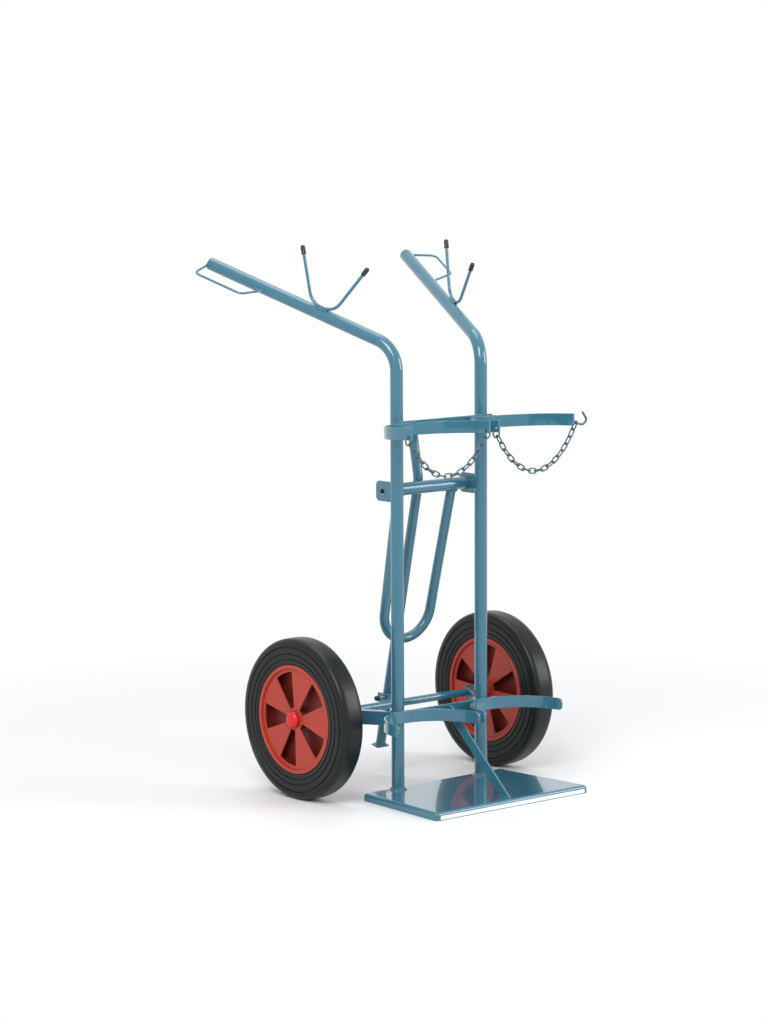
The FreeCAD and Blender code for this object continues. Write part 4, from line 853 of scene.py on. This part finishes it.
class TORCH_OT_chassis(bpy.types.Operator):
    """Side arms, axle, pivot ears and latch bracket"""
    bl_idname = "torch_cart.chassis"
    bl_label = "Arms, axle and pivot"

    def execute(self, context):
        s = sizes()
        for word, side in SIDES:
            self.arm(word, side, s)
            self.collar(word, side, s)
            self.ear(word, side, s)
        reach = extent("axle").x / 2
        bm = bmesh.new()
        turned(bm, [(-reach, 0), (-reach, 0.009), (-reach + 0.001, 0.010), (reach - 0.001, 0.010),
                    (reach, 0.009), (reach, 0)], 40, Matrix.Translation(AXLE))
        add_painted(bm, "AxleBar", ("axle",))
        self.bracket(s)
        self.knob()
        return {"FINISHED"}

    def arm(self, word, side, s):
        """A bar from the upright back and out to the axle, which runs through it."""
        low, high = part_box("side_arm_" + word)
        heading = Vector((side * (s.arm_aside - s.upright_aside), AXLE.y - UPRIGHT_Y, 0))
        start, end = 0.0135, heading.length + 0.017
        bm = bmesh.new()
        block(bm, ((start + end) / 2, 0, 0), (end - start, 0.020, high.z - low.z))
        soften(bm, 0.0022, 4)
        weld_y, weld_z = 0.0096, 0.0165
        standing_beads(bm, [(start, -weld_y), (start, weld_y)], -weld_z, weld_z, s.bead * 1.1)
        line_bead(bm, (0.0166, -0.009, 0.0172), (0.0166, 0.009, 0.0172), s.bead)
        foot = (side * s.upright_aside, UPRIGHT_Y, (low.z + high.z) / 2)
        add_painted(bm, "SideArm_" + word, ("side_arm_" + word,), aimed(foot, X, heading.normalized()))

    def collar(self, word, side, s):
        """A ring on the axle inboard of the wheel."""
        low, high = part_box("axle_collar_" + word)
        inner, outer = (low.x, high.x) if side > 0 else (high.x, low.x)
        slope = side * 0.0012
        bm = bmesh.new()
        turned(bm, [(inner, 0.0101), (inner, 0.0128), (inner + slope, 0.014), (outer - slope, 0.014),
                    (outer, 0.0128), (outer, 0.0101)], 40, Matrix.Translation((0, AXLE.y, AXLE.z)))
        ring_bead(bm, (inner - side * 0.0005, AXLE.y, AXLE.z), X, 0.0125, s.bead)
        add_piece(bm, "AxleCollar_" + word, "cart", "frame_paint", ("axle_collar_" + word,))

    def ear(self, word, side, s):
        """A plate behind the upright that holds the spindle."""
        low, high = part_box("pivot_ear_" + word)
        x = side * s.upright_aside
        bm = bmesh.new()
        plate(bm, [(low.y, low.z), (high.y, low.z), (high.y, high.z), (low.y, high.z)], high.x - low.x,
              edgewise(x))
        rear = high.y - 1e-5
        soften(bm, 0.012, 8, pick=lambda e: runs_along(e, X, 0.001) and e.verts[0].co.y > rear)
        soften(bm, s.edge_round, 3)
        bm = drilled(bm, [((x, SPINDLE.y, SPINDLE.z), 0.01004, 0.03)])
        weld_y, inset = low.y + 0.0002, 0.002
        places = [(low.x - 0.0008, weld_y), (high.x + 0.0008, weld_y)]
        standing_beads(bm, places, low.z + inset, high.z - inset, s.bead)
        ring_bead(bm, (side * 0.1411, SPINDLE.y, SPINDLE.z), X, 0.0098, s.bead * 0.5)
        add_painted(bm, "PivotEar_" + word, ("pivot_ear_" + word,))

    def bracket(self, s):
        """An H-shaped bracket on the axle that guides the latch pin."""
        low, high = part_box("latch_bracket")
        pin_y = middle("latch_pin").y
        leg_gap = 0.2 * s.thin_radius + 0.002
        web_rear = pin_y - s.thin_radius - leg_gap
        inner, outer = 0.0137, high.x
        right_half = [(inner, web_rear - s.bar_thick), (inner, low.y), (outer, low.y), (outer, high.y),
                      (inner, high.y), (inner, web_rear)]
        height = (low.z + high.z) / 2
        bm = bmesh.new()
        plate(bm, both_sides(right_half), high.z - low.z, Matrix.Translation((0, 0, height)))
        soften(bm, s.edge_round)
        bm = drilled(bm, [((-0.017, pin_y, height), 0.00405, 0.012)])
        places = [(x, low.y + 0.0004) for x in (-outer, -inner, inner, outer)]
        standing_beads(bm, places, low.z + 0.002, AXLE.z + 0.006, s.bead * 0.9)
        add_painted(bm, "LatchBracket", ("latch_bracket",))

    def knob(self):
        """The latch pin's turned knob."""
        low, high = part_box("latch_knob")
        a, b, r = low.x, high.x, (high.z - low.z) / 2
        bm = bmesh.new()
        turned(bm, [(a, 0), (a, r * 0.60), (a + 0.0006, r * 0.80), (a + 0.0022, r * 0.97), (a + 0.0035, r),
                    (b - 0.003, r), (b - 0.0012, r * 0.93), (b, r * 0.78), (b, 0.0040)], 36,
               Matrix.Translation((0, middle("latch_knob").y, middle("latch_knob").z)))
        add_piece(bm, "LatchKnob", "latch", "black_plastic", ("latch_knob",))


# ---------------------------------------------------------------- stand

class TORCH_OT_stand(bpy.types.Operator):
    """Swinging prop stand: crossbar, bow, leg with hand lever, and foot"""
    bl_idname = "torch_cart.stand"
    bl_label = "Prop stand"

    def execute(self, context):
        s = sizes()
        place = Matrix.Translation((0, SPINDLE.y, SPINDLE.z)) @ Matrix.Rotation(s.stand_lean, 4, "X")
        back = s.tube_radius + s.thin_radius + 0.0001
        self.crossbar(place, s)
        self.bow(place, s)
        self.leg(place, back, s)
        self.foot(place, back, s)
        return {"FINISHED"}

    def crossbar(self, place, s):
        """The tube that turns on the spindle, with the bow's and the leg's welds."""
        half = extent("pivot_crossbar").x / 2
        bm = bmesh.new()
        turned(bm, [(-half, 0.0131), (-half, 0.0152), (-half + 0.0008, s.tube_radius),
                    (half - 0.0008, s.tube_radius), (half, 0.0152), (half, 0.0131)], 48)
        for x in (-s.bow_aside, s.bow_aside):
            ring_bead(bm, (x, 0, -0.0146), Z, 0.0128, s.bead)
        standing_beads(bm, [(-0.0092, 0.0172), (0.0092, 0.0172)], 0, -0.018, s.bead)
        add_painted(bm, "StandCrossbar", ("pivot_crossbar",), place, "stand")

    def bow(self, place, s):
        """A U-bent tube that hangs from the crossbar."""
        low = 0.97 * s.bow_bend
        outline = [(-s.bow_aside, -0.010), (-low, -s.bow_drop), (low, -s.bow_drop), (s.bow_aside, -0.010)]
        bm = bmesh.new()
        follow(bm, [(x, 0, z) for x, z in outline], [s.bow_bend] * 2, -Y, s.thin_radius, segments=36,
               steps_per_turn=96)
        add_painted(bm, "RearBow", ("rear_bow",), place, "stand")

    def leg(self, place, back, s):
        """The long leg with its bent-back hand lever, drilled for the latch pin."""
        bend = 0.6 * s.tube_radius
        corner = Vector((0, back, bend))
        tip = corner + Vector((0, math.sin(s.lever_angle), math.cos(s.lever_angle))) * s.lever_length
        bm = bmesh.new()
        follow(bm, [(0, back, -s.leg_drop), corner, tip], [s.lever_bend], X, s.thin_radius, segments=36,
               steps_per_turn=120)
        soften(bm, 0.003, 4, pick=lambda e: e.verts[0].co.z > 0.05)
        pin = place.inverted() @ middle("latch_pin")
        start, end = -0.016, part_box("latch_pin")[1].x + 0.009
        bm = drilled(bm, [(((start + end) / 2, pin.y, pin.z), 0.00415, end - start)])
        add_painted(bm, "PropLeg", ("prop_leg", "lever_plug"), place, "stand")

    def foot(self, place, back, s):
        """The small plate under the leg."""
        bm = bmesh.new()
        block(bm, (0, back, -s.leg_drop - 0.002), (0.040, 0.026, 0.004))
        roll(bm, [e for e in bm.edges if runs_along(e, Z, 0.001)], 0.004, 5)
        soften(bm, 0.0007)
        ring_bead(bm, (0, back, -s.leg_drop + 0.0002), Z, s.thin_radius, s.bead * 0.8)
        add_painted(bm, "PropFoot", ("prop_foot",), place, "stand")


# ---------------------------------------------------------------- wheels

class TORCH_OT_wheels(bpy.types.Operator):
    """Tyres with stepped sidewalls, windowed rims, hub caps"""
    bl_idname = "torch_cart.wheels"
    bl_label = "Wheels"

    def execute(self, context):
        s = sizes()
        for word, side in SIDES:
            centre = Matrix.Translation(middle("tyre_" + word))
            face_out = Matrix.Rotation(0 if side > 0 else math.pi, 4, "Z")
            rest_turn = Matrix.Rotation(math.radians(75 if side > 0 else 50.5), 4, "X")
            self.tyre(word, centre @ face_out, s)
            self.rim(word, centre @ rest_turn @ face_out, s)
            self.cap(word, side)
        return {"FINISHED"}

    def tyre(self, word, place, s):
        """A ring with three shallow grooves in each sidewall; the outline runs from bead to tread."""
        groove = s.tyre_groove
        size = extent("tyre_" + word)
        half, radius = size.x / 2, size.z / 2
        outer = [(half - inset, r) for inset, r in (
            (0.0036, 0.1300), (0.0036, 0.1356), (0.0022, 0.1372), (0.0008, 0.1398), (0.0003, 0.1440),
            (0.0003, 0.1468), (groove, 0.1476), (groove, 0.1490), (0.0003, 0.1500), (0, 0.1530),
            (0.0002, 0.1604), (groove, 0.1612), (groove, 0.1627), (0.0002, 0.1638), (0, 0.1670),
            (0.0002, 0.1768), (groove + 0.0002, 0.1778), (groove + 0.0002, 0.1797), (0.0003, 0.1810),
            (0.0005, 0.1850), (0.0015, 0.1905), (0.0036, 0.1948), (0.0066, 0.1974), (0.0110, 0.1990),
            (0.0160, 0.1998), (0.0230, radius))]
        bm = bmesh.new()
        turned(bm, both_sides(outer), 128)
        add_piece(bm, "Tyre_" + word, "wheel_" + word, "tyre_rubber", ("tyre_" + word,), place, crease=50)

    def rim(self, word, place, s):
        """Two windowed webs between the barrel and the boss, with a disc in the middle."""
        edge, face, boss_end, boss_back = 0.0317, 0.0257, 0.0262, -0.0428
        barrel, boss, bore, flange, seat = 0.1258, 0.0250, 0.0160, 0.1348, 0.1298
        overlap, corner = 0.001, 0.0010
        bm = self.web(face, boss - overlap, barrel + overlap, s)
        twin = bm.copy()
        bmesh.ops.reverse_faces(twin, faces=twin.faces)
        join_into(bm, twin, Matrix.Scale(-1, 4, X))
        half_barrel = [(edge - corner, barrel), (edge, barrel + corner), (edge, flange - corner),
                       (edge - corner, flange), (edge - 0.003, flange), (edge - 0.003, seat)]
        front_boss = [(boss_end, bore), (boss_end, boss - corner), (boss_end - corner, boss)]
        half_disc = [(0.002, boss - overlap), (0.002, barrel + overlap)]
        back_boss = [(boss_back + corner, boss), (boss_back, boss - corner), (boss_back, bore)]
        for outline, steps in ((both_sides(half_barrel), 120), (both_sides(half_disc), 80),
                               (front_boss + back_boss, 64)):
            part = bmesh.new()
            turned(part, outline, steps)
            join_into(bm, part)
        add_piece(bm, "Rim_" + word, "wheel_" + word, "rim_plastic", ("rim_" + word,), place, weighted=True)

    def web(self, face, foot, top, s):
        """One web with five windows: a line spun round in turns, its open middles deleted, then thickened."""
        inner, outer = s.window_inner, s.window_outer
        bm = bmesh.new()
        marks = [bm.verts.new((face, 0, r)) for r in (foot, inner, (inner + outer) / 2, outer, top)]
        geom = marks + [bm.edges.new((a, b)) for a, b in zip(marks, marks[1:])]
        bmesh.ops.rotate(bm, verts=marks, cent=(0, 0, 0), matrix=Matrix.Rotation(-s.window_angle / 2, 3, "X"))
        gone = []
        for _ in range(5):
            before = set(bm.faces)
            geom = spun(bm, geom, X, s.window_angle, 8)
            gone += [f for f in bm.faces if f not in before
                     and inner < (f.calc_center_median() - X * face).length < outer]
            geom = spun(bm, geom, X, 2 * math.pi / 5 - s.window_angle, 10)
        bmesh.ops.delete(bm, geom=gone, context="FACES")
        bmesh.ops.remove_doubles(bm, verts=bm.verts, dist=1e-5)
        out = bmesh.ops.extrude_face_region(bm, geom=bm.faces[:])
        bmesh.ops.translate(bm, verts=vertices(out["geom"]), vec=(-s.web_thick, 0, 0))
        bmesh.ops.recalc_face_normals(bm, faces=bm.faces)

        def by_window(vert):
            return inner - 0.003 < math.hypot(vert.co.y, vert.co.z) < outer + 0.001

        soften(bm, 0.0060, 5, 50, lambda e: runs_along(e, X, s.web_thick / 2) and by_window(e.verts[0]))
        soften(bm, 0.0012, 3, 50, lambda e: all(by_window(v) and v.co.x > face - 1e-5 for v in e.verts))
        return bm

    def cap(self, word, side):
        """A domed cap over the axle's end."""
        low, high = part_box("hub_cap_" + word)
        base, tip = (low.x, high.x) if side > 0 else (high.x, low.x)
        dome = [(0, 0.0101), (0, 0.0204), (0.04, 0.0210), (0.30, 0.0210), (0.38, 0.0204), (0.56, 0.0188),
                (0.74, 0.0158), (0.88, 0.0116), (0.97, 0.0062), (1, 0)]
        bm = bmesh.new()
        turned(bm, [(base + (tip - base) * share, r) for share, r in dome], 56,
               Matrix.Translation((0, AXLE.y, AXLE.z)))
        add_piece(bm, "HubCap_" + word, "cart", "cap_plastic", ("hub_cap_" + word,))


# ---------------------------------------------------------------- remaining solids and the studio

class TORCH_OT_solids(bpy.types.Operator):
    """Finishes for the solids that are shown as they are"""
    bl_idname = "torch_cart.solids"
    bl_label = "Chains, pins and bushes"

    def execute(self, context):
        made = finishes()
        slots = {p["node"]: p["material_slot"] for p in frame["record"]["subparts"]}
        for name, node in frame["nodes"].items():
            node.data.materials.clear()
            node.data.materials.append(made[slots[name]])
        return {"FINISHED"}


class TORCH_OT_studio(bpy.types.Operator):
    """Pale floor, soft light, white surroundings and the camera"""
    bl_idname = "torch_cart.studio"
    bl_label = "Studio"

    def execute(self, context):
        scene = context.scene
        bm = bmesh.new()
        bmesh.ops.create_grid(bm, x_segments=1, y_segments=1, size=30.0)
        floor = linked_object("StudioFloor", bm)
        floor.data.materials.append(self.floor_finish())
        self.world(scene)
        for name, place, aim, size, power in (
                ("KeyLight", (-3.2, -2.2, 3.6), (0, 0, 0.6), 2.2, 140),
                ("FillLight", (3.0, -3.4, 2.0), (0, 0, 0.6), 2.0, 85),
                ("TopLight", (0.2, 0.6, 4.2), (0, 0, 0.5), 2.4, 45)):
            self.lamp(scene, name, Vector(place), Vector(aim), size, power)
        self.camera(scene)
        scene.view_settings.view_transform = "Standard"
        return {"FINISHED"}

    def lamp(self, scene, name, place, aim, size, power):
        """A square soft light that points at its aim."""
        light = bpy.data.lights.new(name, "AREA")
        light.shape = "SQUARE"
        light.size = size
        light.energy = power
        holder = bpy.data.objects.new(name, light)
        scene.collection.objects.link(holder)
        turn = (aim - place).to_track_quat("-Z", "Y").to_matrix().to_4x4()
        holder.matrix_world = Matrix.Translation(place) @ turn

    def camera(self, scene):
        """A long lens from the front left, a little above the handles."""
        view = bpy.data.cameras.new("StudioCamera")
        view.lens = 116.0
        view.sensor_width = 36.0
        view.sensor_fit = "AUTO"
        view.clip_end = 100
        camera = bpy.data.objects.new("StudioCamera", view)
        scene.collection.objects.link(camera)
        spot = Matrix.Translation((-5.3534, UPRIGHT_Y - 6.0660, 1.7065))
        for degrees, axis in ((-40.46, "Z"), (90 - 7.10, "X"), (-0.24, "Z")):
            spot = spot @ Matrix.Rotation(math.radians(degrees), 4, axis)
        camera.matrix_world = spot
        scene.camera = camera

    def floor_finish(self):
        """A pale floor that holds shadows near the cart and fades to plain white further off."""
        made = bpy.data.materials.new("Studio floor")
        made.use_nodes = True
        wire = Wiring(made.node_tree)
        shader = wire.nodes["Principled BSDF"]
        wire.feed(shader, {"Base Color": (*colours().floor, 1), "Roughness": 0.55,
                           "Specular IOR Level": 0.25})
        place = wire.add("NewGeometry", {}).outputs["Position"]
        far = wire.add("VectorMath", {0: place}, operation="LENGTH").outputs["Value"]
        fade = wire.add("MapRange", {"Value": far, "From Min": 0.75, "From Max": 2.2},
                        interpolation_type="SMOOTHSTEP")
        both = wire.maths("MULTIPLY", fade.outputs["Result"], wire.seen_ray())
        wire.blend(both, shader, wire.add("Emission", {"Strength": 1.0}), "Material Output")
        return made

    def world(self, scene):
        """Soft air that lights the cart and looks white."""
        scene.world = bpy.data.worlds.new("Studio air")
        scene.world.use_nodes = True
        wire = Wiring(scene.world.node_tree)
        air = wire.nodes["Background"]
        wire.feed(air, {"Color": (0.95, 0.97, 1.0, 1), "Strength": 0.55})
        white = wire.add("Background", {"Color": (1, 1, 1, 1), "Strength": 1.0})
        wire.blend(wire.seen_ray(), air, white, "World Output")


class TORCH_PT_panel(bpy.types.Panel):
    """Lists the cart's pieces and sizes"""
    bl_idname = "TORCH_PT_panel"
    bl_label = "Torch cart"
    bl_space_type = "VIEW_3D"
    bl_region_type = "UI"
    bl_category = "Torch cart"

    def draw(self, context):
        layout = self.layout
        for maker in MAKERS:
            layout.operator(maker.bl_idname)
        for group in (context.scene.torch_cart_sizes, context.scene.torch_cart_colours):
            box = layout.box()
            for key in group.__annotations__:
                box.prop(group, key)


MAKERS = (TORCH_OT_solids, TORCH_OT_handles, TORCH_OT_hooks, TORCH_OT_plate, TORCH_OT_cradles,
          TORCH_OT_chassis, TORCH_OT_stand, TORCH_OT_wheels, TORCH_OT_studio)
CLASSES = (TorchCartSizes, TorchCartColours) + MAKERS + (TORCH_PT_panel,)


def register():
    """Registers the classes and hangs the sizes and colours on the scene."""
    for item in CLASSES:
        bpy.utils.register_class(item)
    bpy.types.Scene.torch_cart_sizes = PointerProperty(type=TorchCartSizes)
    bpy.types.Scene.torch_cart_colours = PointerProperty(type=TorchCartColours)


def unregister():
    """Takes the sizes, the colours and the classes away again."""
    del bpy.types.Scene.torch_cart_colours
    del bpy.types.Scene.torch_cart_sizes
    for item in reversed(CLASSES):
        bpy.utils.unregister_class(item)


def main():
    """Builds everything in order."""
    register()
    for maker in MAKERS:
        group, name = maker.bl_idname.split(".")
        getattr(getattr(bpy.ops, group), name)()


if __name__ == "__main__":
    main()
